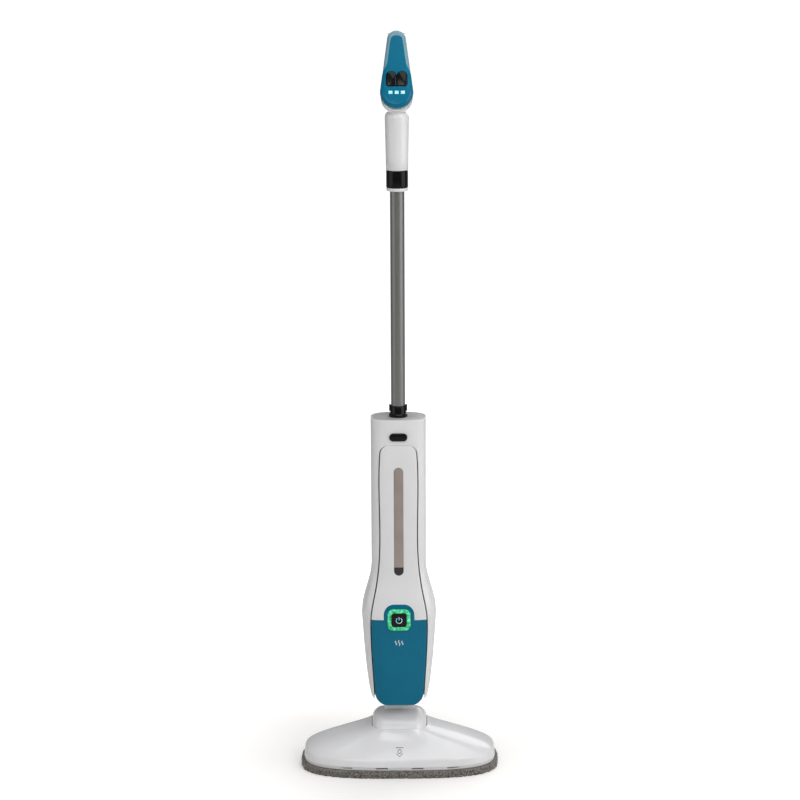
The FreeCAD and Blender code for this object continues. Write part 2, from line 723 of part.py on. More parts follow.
def insert_face(gap, low):
    """Front outline of panel and cover together in the XZ plane, grown by a gap but less at the top."""
    gap = float(gap)
    half, top = float(S.panel_half) + gap, float(PANEL_TOP) + min(gap, float(S.part_gap))
    corner = float(S.panel_corner) + gap
    waist, hip = float(S.body_waist), float(S.body_hip)
    cheek = float(S.hip_half) - 15.0 + gap
    low = float(low) - gap
    foot_corner = float(S.cover_corner) + gap
    foot_half = float(S.foot_half) - 4.0 + gap
    side = Part.BSplineCurve()
    side.interpolate([Vector(half, 0, top - corner),
                      Vector(half + 1.2, 0, (top + waist) / 2),
                      Vector(half + 2.6, 0, waist),
                      Vector(half + 8.2, 0, waist - (waist - hip) * 0.5),
                      Vector(cheek - 1.2, 0, hip + 4),
                      Vector(cheek - 0.4, 0, hip - 20),
                      Vector(cheek - 2.2, 0, hip - 72),
                      Vector(foot_half, 0, low + foot_corner)])
    mirror = FreeCAD.Matrix()
    mirror.A11 = -1
    right = side.toShape()
    left = right.transformGeometry(mirror)
    cos45 = math.sqrt(0.5)
    top_right = Part.Arc(Vector(half, 0, top - corner),
                         Vector(half - corner * (1 - cos45), 0, top - corner * (1 - cos45)),
                         Vector(half - corner, 0, top)).toShape()
    foot_right = Part.Arc(Vector(foot_half, 0, low + foot_corner),
                          Vector(foot_half - foot_corner * (1 - cos45), 0, low + foot_corner * (1 - cos45)),
                          Vector(foot_half - foot_corner, 0, low)).toShape()
    top_left = top_right.transformGeometry(mirror)
    foot_left = foot_right.transformGeometry(mirror)
    top_line = Part.makeLine(Vector(half - corner, 0, top), Vector(corner - half, 0, top))
    foot_reach = foot_half - foot_corner
    foot_line = Part.makeLine(Vector(foot_reach, 0, low), Vector(-foot_reach, 0, low))
    edges = [right, left, top_right, top_left, foot_right, foot_left, top_line, foot_line]
    return Part.Face(Part.Wire(Part.sortEdges(edges)[0]))


def forward_prism(face, start=-90.0, end=0.0):
    """Run a front outline back from in front of the body to the middle."""
    face = face.copy()
    face.translate(Vector(0, start, 0))
    return face.extrude(Vector(0, end - start, 0))


def cover_prism(gap):
    """Space of the lower cover: below the shoulder line, with the tab round the button."""
    gap = float(gap)
    below = Part.makeBox(200, 90, float(S.cover_top) + gap - 50, Vector(-100, -90, 50))
    half, corner = float(S.tab_half) + gap, float(S.tab_corner) + gap
    top = float(S.tab_top) + gap
    tab = Part.makeBox(2 * half, 90, top - 200, Vector(-half, -90, 200))
    upright = [edge for edge in tab.Edges
               if abs(edge.tangentAt(edge.FirstParameter).y) > 0.99 and edge.CenterOfMass.z > top - 1]
    return below.fuse(tab.makeFillet(corner, upright)).removeSplitter()


def front_skin(grow, low, high):
    """Front wall of the body as a layer, standing out by grow."""
    wall = float(S.wall)
    layer = body_form(grow, low, high).cut(body_form(-wall, low - 5, high + 5))
    return layer.common(Part.makeBox(200, 90, high - low + 20, Vector(-100, -90, low - 10)))


# ---------------------------------------------------------------- body pieces

def housing_screw_set():
    """Screws from behind into the body."""
    screws = []
    for side in (-1, 1):
        for index, height in enumerate((S.body_foot + 40, S.body_hip + 55, S.body_top - 60)):
            deep = body_section(float(height))[2]
            tag = f"housing_screw_{side + 1}{index}"
            spot_x = S.chest_half * 0.45 * side
            shank = rod(f"{tag}_shank", S.screw_radius, (spot_x, deep - 14, height), 9, ALONG_Y)
            head = rod(f"{tag}_head", S.screw_head, (spot_x, deep - 5, height), 2, ALONG_Y)
            screws.append(fuse(tag, shank, head))
    return node("housing_screws", group("housing_screws", screws))


def make_housings(screws):
    """Rear shell, and the side shells joined above the raised panel."""
    foot, top, wall = float(S.body_foot), float(S.body_top), float(S.wall)
    outer = body_form(0.0, foot, top)
    inner = body_form(-wall, foot + wall, top + 5)
    shell = outer.cut(inner)
    slot_half = float(S.neck_foot) + 2.4
    slot = Part.makeBox(2 * slot_half, float(S.neck_thick) + 1.4, 20,
                        Vector(-slot_half, -float(S.neck_thick) / 2 - 0.7, foot - 10))
    shell = shell.cut(slot)
    back = Part.makeBox(200, 90, 600, Vector(-100, PARTING, foot - 10))
    rear = shell.common(back)
    gland = Part.makeCylinder(6.0, 40, Vector(0, 15, float(S.gland_height)), Vector(0, 1, 0))
    rear = rear.cut(gland)
    for screw in screws.Links:
        start = screw.Shapes[0].Placement.Base + Vector(0, 4, 0)
        rear = rear.cut(Part.makeCylinder(float(S.screw_head) + 0.2, 40, start, Vector(0, 1, 0)))
    node("rear_housing", formed("rear_housing", rear))
    front_box = Part.makeBox(200, 90 + PARTING - float(S.part_gap), 600, Vector(-100, -90, foot - 10))
    opening = forward_prism(insert_face(S.panel_gap, S.body_foot - 20), end=-6.0)
    front = shell.common(front_box).cut(opening)
    pill_hole = pill_form(float(S.part_gap))
    node("side_housing", formed("side_housing", front.cut(pill_hole)))


def pill_form(gap):
    """Pill-shaped bar through the front wall."""
    half, radius, height = float(S.pill_half) + gap, float(S.pill_radius) + gap, float(PILL_HEIGHT)
    middle = Part.makeBox(2 * (half - radius), 60, 2 * radius, Vector(radius - half, -70, height - radius))
    for side in (-1, 1):
        end = Part.makeCylinder(radius, 60, Vector(side * (half - radius), -70, height), Vector(0, 1, 0))
        middle = middle.fuse(end)
    return middle.removeSplitter()


def panel_ramp():
    """Wedge above the slope that leads the raised panel's top back to the housing."""
    front, top = float(S.chest_front), float(PANEL_TOP)
    low, seat = top - float(S.panel_slope), -front - 0.2
    corners = [(-front - float(S.proud), low), (seat, top), (seat, top + 10), (-90, top + 10), (-90, low)]
    points = [Vector(-100, y, z) for y, z in corners]
    return Part.Face(Part.makePolygon(points + points[:1])).extrude(Vector(200, 0, 0))


def make_front():
    """Raised panel with its window slot, and the lower cover."""
    gap, proud = float(S.part_gap), float(S.proud)
    insert = forward_prism(insert_face(0.0, S.cover_foot), end=-9.0)
    layer = front_skin(proud, float(S.cover_foot), float(PANEL_TOP) + 4)
    plate = layer.common(insert)
    window = window_form(0.0)
    panel = plate.cut(cover_prism(gap)).cut(window).cut(panel_ramp())
    node("front_panel", formed("front_panel", max(panel.Solids, key=lambda solid: solid.Volume)))
    ring_hole = rounded_bar(float(S.ring_half) + 0.2, float(S.ring_half) * 0.95 + 0.2, 9.0, 70, -80)
    cover = plate.common(cover_prism(0.0)).cut(ring_hole)
    node("lower_cover", formed("lower_cover", max(cover.Solids, key=lambda solid: solid.Volume)))


def window_form(inset):
    """Upright slot with round ends, for the level window."""
    radius = float(S.window_half) - inset
    low, high = float(S.window_foot) + float(S.window_half), float(WINDOW_TOP) - float(S.window_half)
    middle = Part.makeBox(2 * radius, 60, high - low, Vector(-radius, -80, low))
    for height in (low, high):
        middle = middle.fuse(Part.makeCylinder(radius, 60, Vector(0, -80, height), Vector(0, 1, 0)))
    return middle.removeSplitter()


def rounded_bar(half_x, half_z, corner, length, start):
    """Bar along Y with rounded corners, centred on the power button."""
    height = float(S.ring_height)
    bar = Part.makeBox(2 * half_x, length, 2 * half_z, Vector(-half_x, start, height - half_z))
    upright = [edge for edge in bar.Edges if abs(edge.tangentAt(edge.FirstParameter).y) > 0.99]
    return bar.makeFillet(corner, upright)


def make_window():
    """Smoked lens in the panel's slot."""
    low, high = float(S.window_foot) - 5, float(WINDOW_TOP) + 5
    lens = front_skin(float(S.proud) - 0.4, low, high).common(window_form(0.0))
    node("level_window", formed("level_window", lens))


def make_power_button():
    """Lit ring, push button and the board behind them."""
    half, band, front = float(S.ring_half), float(S.ring_band), float(RING_FRONT)
    outer = rounded_bar(half, half * 0.95, 8.8, 9.0, -front)
    inner = rounded_bar(half - band, half * 0.95 - band, 4.0, 30.0, -front - 5)
    node("light_ring", formed("light_ring", outer.cut(inner)))
    gap = float(S.part_gap)
    button = rounded_bar(half - band - gap, half * 0.95 - band - gap, 3.8, 10.5, -front - 0.6)
    node("power_button", formed("power_button", button))
    board_y = RING_FRONT * -1 + 14.5
    height = S.ring_height
    board = centred_box("board_sheet", 30, (board_y, board_y + 1.6), (height - 30, height + 22))
    layout = [(-20, -20, 14, 10), (4, -22, 10, 14), (-24, 6, 8, 8)]
    chips = [box(f"board_chip{index}", (x, board_y + 1.6, height + z), (wide, 2.5, tall))
             for index, (x, z, wide, tall) in enumerate(layout)]
    node("control_board", fuse("control_board", board, *chips))


def make_release_button():
    """Pill-shaped push button above the panel."""
    node("release_button", pill("release_button", S.pill_half, S.pill_radius, -(S.chest_front + 2.5),
                                11.0, PILL_HEIGHT))


def make_tank():
    """Removable tank behind the panel."""
    low, high = S.tank_foot, TANK_TOP
    front, rear = S.chest_front * -1 + S.wall + 0.4, S.tank_rear
    body = new_body("water_tank_blank")
    sketch = draw_polygon(new_sketch(body, "XY_Plane", low),
                          [(-S.tank_half, front), (S.tank_half, front),
                           (S.tank_half, rear), (-S.tank_half, rear)])
    block = pad(body, sketch, high - low)
    round_edges(body, block, 7.0, runs_along(Z_AXIS))
    wall = S.tank_wall
    hollow = centred_box("tank_hollow", S.tank_half - wall * 2, (front + wall, rear - wall),
                         (low + wall, high - wall))
    filler = rod("tank_filler", 9.0, (0, -9, high - 4), 8.0)
    drain = rod("tank_drain", 3.0, (0, 0, low - 4), 12.0)
    node("water_tank", cut("water_tank", body, hollow, filler, drain))
    outlet = rod("outlet_body", 6.5, (0, 0, low - 8), 8.0)
    outlet_bore = rod("outlet_bore", 3.0, (0, 0, low - 8), 8.0)
    node("tank_outlet", cut("tank_outlet", outlet, outlet_bore))
    node("tank_seal", pipe("tank_seal", 8.5, 6.5, (0, 0, low - 5), 3.0))
    cap_top = rod("cap_top", 12.5, (0, -9, high + 0.3), 5.0)
    cap_plug = rod("cap_plug", S.pipe_radius * 2 + 1.6, (0, -9, high - 3), 4.0)
    grip = box("cap_grip", (-9, -10.5, high + 5), (18, 3, 1.6))
    node("tank_cap", fuse("tank_cap", cap_top, cap_plug, grip))


def make_top():
    """Top cap and the socket that takes the pole."""
    top = float(S.body_top)
    wall = float(S.wall)
    cap = body_form(-wall, top - 3.5, top - 0.5)
    hole = Part.makeCylinder(float(SOCKET_RADIUS), 20, Vector(0, 0, top - 10))
    node("top_cap", formed("top_cap", cap.cut(hole)))
    seat = S.body_top - 0.5
    bore, shank, collar = S.pole_radius, SOCKET_RADIUS, FLANGE_RADIUS
    profile = [(bore, POLE_FOOT), (shank, POLE_FOOT), (shank, seat), (collar, seat),
               (collar, seat + 3), (collar - 1, seat + 4.5), (shank, seat + 5),
               (shank, SOCKET_TOP - 1), (shank - 0.6, SOCKET_TOP), (bore, SOCKET_TOP)]
    sleeve = turned("pole_socket_sleeve", profile)
    stop = pipe("pole_stop", SOCKET_RADIUS, S.pole_radius - 3, (0, 0, POLE_FOOT - 3), 3)
    ears = [box(f"socket_ear{index}", (x, -3.0, SOCKET_TOP - 9), (2.4, 6.0, 9.5))
            for index, x in enumerate((-(shank + 1.6), shank - 0.8))]
    node("pole_socket", fuse("pole_socket", sleeve, stop, *ears))


def make_swivel_socket():
    """Fork in the foot of the body, with the side swivel's pin."""
    low, axis = S.body_foot + S.wall, S.roll_axis
    half = S.neck_thick / 2 + 0.4
    lug = half + 6.0
    high = axis + S.tongue_radius + 5
    block = centred_box("socket_block", S.tongue_radius + 5, (-lug, lug), (low, high))
    gap = centred_box("socket_gap", S.tongue_radius + 6, (-half, half), (low - 1, high - 4))
    hole = rod("socket_pin_hole", S.roll_pin_radius, (0, -lug, axis), lug * 2, ALONG_Y)
    way = rod("socket_way", S.pipe_radius, (0, 0, high - 5), 10)
    node("swivel_socket", cut("swivel_socket", block, gap, hole, way))
    node("roll_pin", rod("roll_pin", S.roll_pin_radius, (0, -lug, axis), lug * 2, ALONG_Y))


def make_water_path():
    """Valve, pump, boiler and the hoses between them."""
    low = S.roll_axis + S.tongue_radius + 5
    boiler_low, boiler_high = low + 8, low + 70
    body = new_body("boiler_blank")
    sketch = draw_polygon(new_sketch(body, "XY_Plane", boiler_low),
                          [(-28, -22), (28, -22), (28, 22), (-28, 22)])
    block = pad(body, sketch, boiler_high - boiler_low)
    round_edges(body, block, 8.0, runs_along(Z_AXIS))
    heater = [rod(f"heater_end{index}", 3.2, (x, 14, boiler_high), 8) for index, x in enumerate((-16, 16))]
    feed = rod("boiler_feed", S.pipe_bore, (0, 0, boiler_high), 5)
    node("boiler", fuse("boiler", body, feed, *heater))
    bracket = centred_box("bracket_sheet", 34, (-24, 24), (boiler_low - 2.5, boiler_low))
    window = centred_box("bracket_window", 14, (-12, 12), (boiler_low - 3, boiler_low + 1))
    node("boiler_bracket", cut("boiler_bracket", bracket, window))
    node("thermostat", rod("thermostat", 7.0, (-14, -10, boiler_high), 7.0))
    node("steam_hose", pipe("steam_hose", S.pipe_radius, S.pipe_bore, (0, 0, low), boiler_low - low))
    pump_low, pump_high = boiler_high + 14, boiler_high + 52
    motor = rod("pump_motor", 15.0, (0, 0, pump_low), pump_high - pump_low)
    head = rod("pump_head", 10.0, (0, 0, pump_high), 6)
    node("pump", fuse("pump", motor, head))
    node("feed_hose", pipe("feed_hose", S.pipe_radius, S.pipe_bore, (0, 0, boiler_high),
                           pump_low - boiler_high))
    valve_low, valve_high = S.tank_foot - 20, S.tank_foot - 8.3
    valve = rod("valve_cup", 10.5, (0, 0, valve_low), valve_high - valve_low)
    shelf = centred_box("valve_shelf", S.chest_half - 6, (-4, 22), (valve_low, valve_low + 3))
    node("tank_valve", fuse("tank_valve", valve, shelf))
    node("water_hose", pipe("water_hose", S.pipe_radius, S.pipe_bore, (0, 0, pump_high + 6),
                            valve_low - pump_high - 6))


def make_cord_fittings():
    """Cord gland and the two cord hooks at the back."""
    deep = body_section(float(S.gland_height))[2]
    profile = [(3.5, -8), (9.0, -8), (9.0, -5), (6.0, -5), (6.0, 0.3),
               (9.0, 0.3), (9.0, 3.5), (6.5, 5), (4.8, 16), (3.5, 16)]
    gland = turned("cable_gland", profile)
    gland.Placement = Placement(Vector(0, deep, float(S.gland_height)), ALONG_Y)
    node("cable_gland", gland)
    low = HOOK_LOW
    rear = S.chest_rear
    arm = centred_box("low_hook_arm", 8, (rear - 0.2, rear + 26), (low - 4, low + 4))
    tip = centred_box("low_hook_tip", 8, (rear + 20, rear + 26), (low - 22, low + 4))
    plate = centred_box("low_hook_plate", 11, (rear - 0.2, rear + 3.5), (low - 12, low + 12))
    hook = fuse("low_hook_blank", arm, tip, plate)
    clear = formed("low_hook_clear", body_form(0.0, float(S.body_foot), float(S.body_top)))
    node("lower_cord_hook", cut("lower_cord_hook", hook, clear))
    high = COLLAR_FOOT + S.collar_height / 2
    back = COLLAR_RADIUS + 0.3
    hub = rod("high_hook_hub", 8.0, (0, back, high), 6, ALONG_Y)
    up_arm = centred_box("high_hook_arm", 5, (back + 3, back + 28), (high - 4, high + 4))
    up_tip = centred_box("high_hook_tip", 8, (back + 22, back + 28), (high - 4, high + 20))
    hole = rod("high_hook_hole", 2.0 + S.run_gap, (0, back - 1, high), 14, ALONG_Y)
    recess = rod("high_hook_recess", 3.8, (0, back + 3, high), 40, ALONG_Y)
    blank = fuse("high_hook_blank", hub, up_arm, up_tip)
    node("upper_cord_hook", cut("upper_cord_hook", blank, hole, recess))
    pin = rod("hook_screw_shank", 2.0, (0, back - 5.5, high), 8.6, ALONG_Y)
    head = rod("hook_screw_head", 3.4, (0, back + 3 + S.run_gap, high), 2.4, ALONG_Y)
    return node("hook_screw", fuse("hook_screw", pin, head))


# ---------------------------------------------------------------- pole and handle

def make_pole(hook_screw):
    """Pole tube, white ring and black collar."""
    node("pole_tube", pipe("pole_tube", S.pole_radius, S.pole_radius - S.pole_wall,
                           (0, 0, POLE_FOOT), S.pole_length))
    ring_low = COLLAR_FOOT - S.end_ring_height
    bore, radius, low, high = S.pole_radius, COLLAR_RADIUS, COLLAR_FOOT, COLLAR_TOP
    ring_profile = [(bore, ring_low), (radius - 1.2, ring_low), (radius - 0.4, ring_low + 0.8),
                    (radius - 0.4, low), (bore, low)]
    node("pole_end_ring", turned("pole_end_ring", ring_profile))
    collar_profile = [(bore, low), (radius - 0.8, low), (radius, low + 0.8),
                      (radius, high - 0.8), (radius - 0.8, high), (bore, high)]
    collar = turned("collar_blank", collar_profile)
    node("handle_collar", cut("handle_collar", collar, hook_screw))
    reach = FACE_FOOT - POLE_FOOT
    node("signal_cable", rod("signal_cable", 2.2, (0, 0, POLE_FOOT - 3), reach - 11))


def lean_rotation():
    """Turn from a flat sketch to the leaning control face: local Y runs up it, local Z out of it."""
    return Rotation(Vector(1, 0, 0), 90 - float(S.face_lean))


def on_face(item, along=0.0, out=0.0):
    """Place an object on the leaning control face."""
    lean = math.radians(float(S.face_lean))
    up = Vector(0, math.sin(lean), math.cos(lean))
    outward = Vector(0, -math.cos(lean), math.sin(lean))
    foot = Vector(0, float(S.face_front), float(FACE_FOOT))
    item.Placement = Placement(foot + up * along + outward * out, lean_rotation())
    return item


def face_outline(inset, foot_shift=0.0):
    """Spoon outline: bowl below, straight sides tapering to a round tip."""
    bowl, tip = float(S.bowl_radius) - inset, float(S.tip_radius) - inset
    bowl_y, tip_y = float(S.bowl_radius) + foot_shift, float(S.face_length) - float(S.tip_radius)
    lean = math.asin((bowl - tip) / (tip_y - bowl_y))
    side = Vector(math.cos(lean), math.sin(lean), 0)
    other = Vector(-side.x, side.y, 0)
    bowl_centre, tip_centre = Vector(0, bowl_y, 0), Vector(0, tip_y, 0)
    bowl_right, bowl_left = bowl_centre + side * bowl, bowl_centre + other * bowl
    tip_right, tip_left = tip_centre + side * tip, tip_centre + other * tip
    edges = [Part.Arc(bowl_right, bowl_centre + Vector(0, -bowl, 0), bowl_left).toShape(),
             Part.makeLine(bowl_left, tip_left),
             Part.Arc(tip_left, tip_centre + Vector(0, tip, 0), tip_right).toShape(),
             Part.makeLine(tip_right, bowl_right)]
    return Part.Face(Part.Wire(Part.sortEdges(edges)[0]))


def key_form(side, gap, length, start):
    """One of the two steam buttons: round at the top, squarer at the bottom."""
    wide, foot, top = 2 * float(S.key_radius), 32.5, 56.5
    low_x = side * (wide / 2 + 0.25) - wide / 2 - gap
    block = Part.makeBox(wide + 2 * gap, top - foot + 2 * gap, length, Vector(low_x, foot - gap, start))
    middle_y = (foot + top) / 2
    upright = [edge for edge in block.Edges if abs(edge.tangentAt(edge.FirstParameter).z) > 0.99]
    upper = [edge for edge in upright if edge.CenterOfMass.y > middle_y]
    rounded = block.makeFillet(float(S.key_radius) - 0.6, upper)
    corner = [edge for edge in rounded.Edges
              if edge.Curve.TypeId == "Part::GeomLine" and abs(edge.tangentAt(edge.FirstParameter).z) > 0.99
              and edge.CenterOfMass.y < foot + 1 and abs(edge.CenterOfMass.x) > wide / 2]
    return rounded.makeFillet(4.0, corner)


def make_control_cover():
    """Spoon-shaped cover, buttons, lights and board of the handle."""
    thick, wall = float(S.face_thick), float(S.wall)
    solid = face_outline(0.0).extrude(Vector(0, 0, -thick))
    rim = [edge for edge in solid.Edges if edge.BoundBox.ZMin > -0.01]
    solid = solid.makeFillet(5.0, rim)
    hollow = face_outline(wall + 3.0).extrude(Vector(0, 0, -thick))
    hollow.translate(Vector(0, 0, -wall))
    solid = solid.cut(hollow)
    gap = float(S.part_gap)
    for side in (-1, 1):
        solid = solid.cut(key_form(side, gap, 30.0, -20.0))
    lights = []
    for side in (-1, 0, 1):
        block = Part.makeBox(6.0, 5.0, 2.0, Vector(side * 9.4 - 3.0, 20.5, -1.7))
        lights.append(block)
        solid = solid.cut(block)
    node("control_cover", on_face(formed("control_cover", solid)))
    node("level_lights", on_face(formed("level_lights", Part.makeCompound(lights))))
    for name, side in (("steam_down_button", -1), ("steam_up_button", 1)):
        node(name, on_face(formed(name, key_form(side, 0.0, 7.5, -6.3))))
    board = Part.makeBox(26, 44, 1.6, Vector(-13, 16, -thick + 1.0))
    node("handle_board", on_face(formed("handle_board", board)))


def make_handle():
    """Stem and the grip loop behind the control cover."""
    low, high = float(COLLAR_TOP), float(STEM_TOP)
    start, end = float(COLLAR_RADIUS), float(STEM_TOP_RADIUS)
    wall = float(S.wall)
    stem = Part.makeCone(start, end, high - low, Vector(0, 0, low))
    hollow = Part.makeCone(start - wall - 0.5, end - wall, high - low - 1, Vector(0, 0, low - 0.5))
    lean = math.radians(float(S.face_lean))
    up = Vector(0, math.sin(lean), math.cos(lean))
    outward = Vector(0, -math.cos(lean), math.sin(lean))
    foot = Vector(0, float(S.face_front), float(FACE_FOOT))
    back = foot - outward * float(S.face_thick)
    thick = 11.0
    rear = float(S.loop_rear)
    inner_foot = back - outward * thick
    inner_top = inner_foot + up * (float(S.face_length) - 25)
    loop_top = back + up * (float(S.face_length) - 3)
    points = [back + up * 2, loop_top, loop_top + Vector(0, 14, 1), Vector(0, rear, loop_top.z - 10),
              Vector(0, rear, high + 12), Vector(0, 19, low + 30), Vector(0, 0, low + 30),
              Vector(0, -12, high - 4)]
    hole = [inner_foot + up * 12, inner_top, Vector(0, rear - 21, inner_top.z + 2),
            Vector(0, rear - 21, high + 21), Vector(0, end + 1.5, high - 26)]
    solid = side_slab(points, float(S.loop_half), (6, 10, 12, 16, 30, 1, 1, 6))
    window = side_slab(hole, float(S.loop_half) + 20, (8, 8, 9, 14, 8))
    loop = solid.cut(window)
    lip = 3.5
    bowl = face_outline(0.8, -lip).extrude(Vector(0, 0, -thick))
    bowl = bowl.common(Part.makeBox(80, 62 + lip, 40, Vector(-40, -2 - lip, -30)))
    bowl.Placement = Placement(back, lean_rotation())
    stem_outer = Part.makeCone(start, end, high - low, Vector(0, 0, low))
    loop = loop.fuse(bowl).cut(stem_outer)
    loop = loop.cut(Part.makeCylinder(3.4, 30, Vector(0, 0, high - 2)))
    node("grip_loop", formed("grip_loop", max(loop.Solids, key=lambda solid: solid.Volume)))
    backwards = Vector(0, 1, 0)
    screws = []
    holes = []
    for height in (low + 12, low + 24):
        seat, tip = Vector(0, start - 3.0, height), Vector(0, start - 12.0, height)
        head = Part.makeCylinder(float(S.screw_head), 2, seat, backwards)
        screws.append(head.fuse(Part.makeCylinder(float(S.screw_radius), 9, tip, backwards)))
        holes.append(Part.makeCylinder(float(S.screw_head), 8, seat, backwards))
    node("handle_screws", formed("handle_screws", Part.makeCompound(screws)))
    shell = stem.cut(hollow)
    for hole_form in holes:
        shell = shell.cut(hole_form)
    node("handle_stem", formed("handle_stem", shell))


def rounded_polygon(points, radii):
    """Closed outline through points, each corner replaced by a tangent arc."""
    count = len(points)
    edges = []
    arcs = []
    for index in range(count):
        corner = points[index]
        back = (points[index - 1] - corner).normalize()
        ahead = (points[(index + 1) % count] - corner).normalize()
        half_angle = back.getAngle(ahead) / 2
        reach = radii[index] / math.tan(half_angle)
        middle = (back + ahead).normalize()
        centre = corner + middle * (radii[index] / math.sin(half_angle))
        arcs.append((corner + back * reach, centre - middle * radii[index], corner + ahead * reach))
    for index in range(count):
        start, through, end = arcs[index]
        edges.append(Part.Arc(start, through, end).toShape())
        edges.append(Part.makeLine(end, arcs[(index + 1) % count][0]))
    return Part.Face(Part.Wire(edges))


def side_slab(points, half, radii):
    """Slab from a side outline in the YZ plane, with rounded corners."""
    slab = rounded_polygon(points, radii).extrude(Vector(2 * half, 0, 0))
    slab.translate(Vector(-half, 0, 0))
    return slab


# ---------------------------------------------------------------- build and write

def build_all():
    """Make every piece."""
    make_pad()
    make_tray(head_screws())
    make_shell()
    make_cradle()
    make_head_steam()
    make_drum()
    make_neck()
    screws = housing_screw_set()
    DOC.recompute()
    make_housings(screws)
    make_front()
    make_window()
    make_power_button()
    make_release_button()
    make_tank()
    make_top()
    make_swivel_socket()
    make_water_path()
    hook_screw = make_cord_fittings()
    make_pole(hook_screw)
    make_control_cover()
    make_handle()


def check_document():
    """Stop if anything failed to build."""
    for item in DOC.Objects:
        if "Invalid" in item.State or "Error" in item.State:
            raise RuntimeError(f"{item.Label} failed: {item.State}")
    for name, item in NODES.items():
        shape = item.Shape
        if shape.isNull() or not shape.isValid() or not shape.Solids:
            raise RuntimeError(f"{name} has no valid solid")


def write_parts():
    """Write each piece to its own file."""
    os.makedirs("parts", exist_ok=True)
    for name, item in NODES.items():
        item.Shape.exportStep(f"parts/{name}.step")
        print(f"{name}: {len(item.Shape.Solids)} solid(s), {item.Shape.Volume / 1000:.1f} cm3")


build_all()
DOC.recompute()
check_document()
write_parts()
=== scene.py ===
"""Upright steam mop: the looks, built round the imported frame.

Sizes are in millimetres and are turned to metres where a mesh is made. +X is the object's right
seen from the front, +Y points to the user behind it and +Z is up.
"""

import json
import logging
import math
from dataclasses import dataclass
from enum import Enum
from typing import Callable, Sequence

import bpy
from mathutils import Matrix, Vector, noise


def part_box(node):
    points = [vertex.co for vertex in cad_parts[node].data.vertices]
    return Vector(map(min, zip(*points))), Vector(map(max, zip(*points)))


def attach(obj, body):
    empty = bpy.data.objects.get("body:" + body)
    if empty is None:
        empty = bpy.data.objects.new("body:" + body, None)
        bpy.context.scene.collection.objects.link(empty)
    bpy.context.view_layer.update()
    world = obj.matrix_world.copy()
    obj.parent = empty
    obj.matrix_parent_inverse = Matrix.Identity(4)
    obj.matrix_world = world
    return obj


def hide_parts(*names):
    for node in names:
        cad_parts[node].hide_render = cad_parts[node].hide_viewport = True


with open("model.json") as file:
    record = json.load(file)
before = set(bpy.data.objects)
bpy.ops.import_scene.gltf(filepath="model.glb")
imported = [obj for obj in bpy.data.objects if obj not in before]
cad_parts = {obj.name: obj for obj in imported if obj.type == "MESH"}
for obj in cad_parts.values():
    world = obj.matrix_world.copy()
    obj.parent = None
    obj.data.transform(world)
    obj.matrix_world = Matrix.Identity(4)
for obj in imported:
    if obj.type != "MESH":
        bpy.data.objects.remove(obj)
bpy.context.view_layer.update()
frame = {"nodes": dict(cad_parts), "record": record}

MM = 0.001
MERGE_GAP = 0.01           # points of a new mesh closer than this are one, in millimetres
COPY_MERGE_GAP = 0.005     # the same for a copied frame node
FLAT_ANGLE = 0.2           # copied faces that turn less than this are joined, in degrees
EDGE_ANGLE = 32.0          # edges sharper than this are rounded and stay sharp, in degrees
SMOOTH_ANGLE = 40.0        # the same for curved housings
MOTTLE_SIZE = 70.0         # clouds of faintly different colour in moulded plastic, in millimetres
MARK_SIZE = 9.0            # handling marks on it, in millimetres
FLOW_SIZE = 30.0           # flow lines in clear plastic, in millimetres
LOG = logging.getLogger("steam_mop")

Ring = Callable[[float, float], Vector]


# ---------------------------------------------------------------- named choices

class Slot(Enum):
    """Material slots of the record."""

    MICROFIBRE = "microfibre"
    HOOK_TAPE = "hook_tape"
    LIGHT_GREY_ABS = "light_grey_abs"
    GREY_PP = "grey_pp"
    WHITE_ABS = "white_abs"
    BUSH_PLASTIC = "bush_plastic"
    SILICONE = "silicone"
    STEEL = "steel"
    TEAL_ABS = "teal_abs"
    CIRCUIT_BOARD = "circuit_board"
    MID_GREY_ABS = "mid_grey_abs"
    BLACK_ABS = "black_abs"
    CAST_ALUMINIUM = "cast_aluminium"
    BLACK_RUBBER = "black_rubber"
    GREY_TUBE = "grey_tube"
    SMOKED_LENS = "smoked_lens"
    TANK_PLASTIC = "tank_plastic"
    LIT_RING = "lit_ring"
    LEVEL_LIGHT = "level_light"


class Body(Enum):
    """Moving bodies of the frame."""

    HEAD = "head"
    SWIVEL = "swivel"
    MAIN = "body"
    TANK = "tank"
    FILLER_CAP = "filler_cap"
    RELEASE_KEY = "release_key"
    POWER_KEY = "power_key"
    STEAM_UP_KEY = "steam_up_key"
    STEAM_DOWN_KEY = "steam_down_key"
    CORD_HOOK = "cord_hook"


# ---------------------------------------------------------------- mesh helpers

def alone(piece: bpy.types.Object) -> None:
    """Select one object and nothing else.

    Args:
        piece: object to select and make active.
    """
    deselect()
    piece.select_set(True)
    bpy.context.view_layer.objects.active = piece


def deselect() -> None:
    """Deselect everything, so that an operator acts only on what comes next."""
    for item in bpy.context.selected_objects:
        item.select_set(False)


def edit(piece: bpy.types.Object) -> None:
    """Open a mesh for editing with all of it selected.

    Args:
        piece: mesh object to edit.
    """
    alone(piece)
    bpy.ops.object.mode_set(mode="EDIT")
    bpy.ops.mesh.select_all(action="SELECT")


def leave_edit() -> None:
    """Close the mesh that is being edited."""
    bpy.ops.object.mode_set(mode="OBJECT")


def outwards(piece: bpy.types.Object) -> None:
    """Merge doubles and turn all faces outwards.

    Args:
        piece: closed mesh object.
    """
    edit(piece)
    bpy.ops.mesh.remove_doubles(threshold=MERGE_GAP * MM)
    bpy.ops.mesh.normals_make_consistent(inside=False)
    leave_edit()


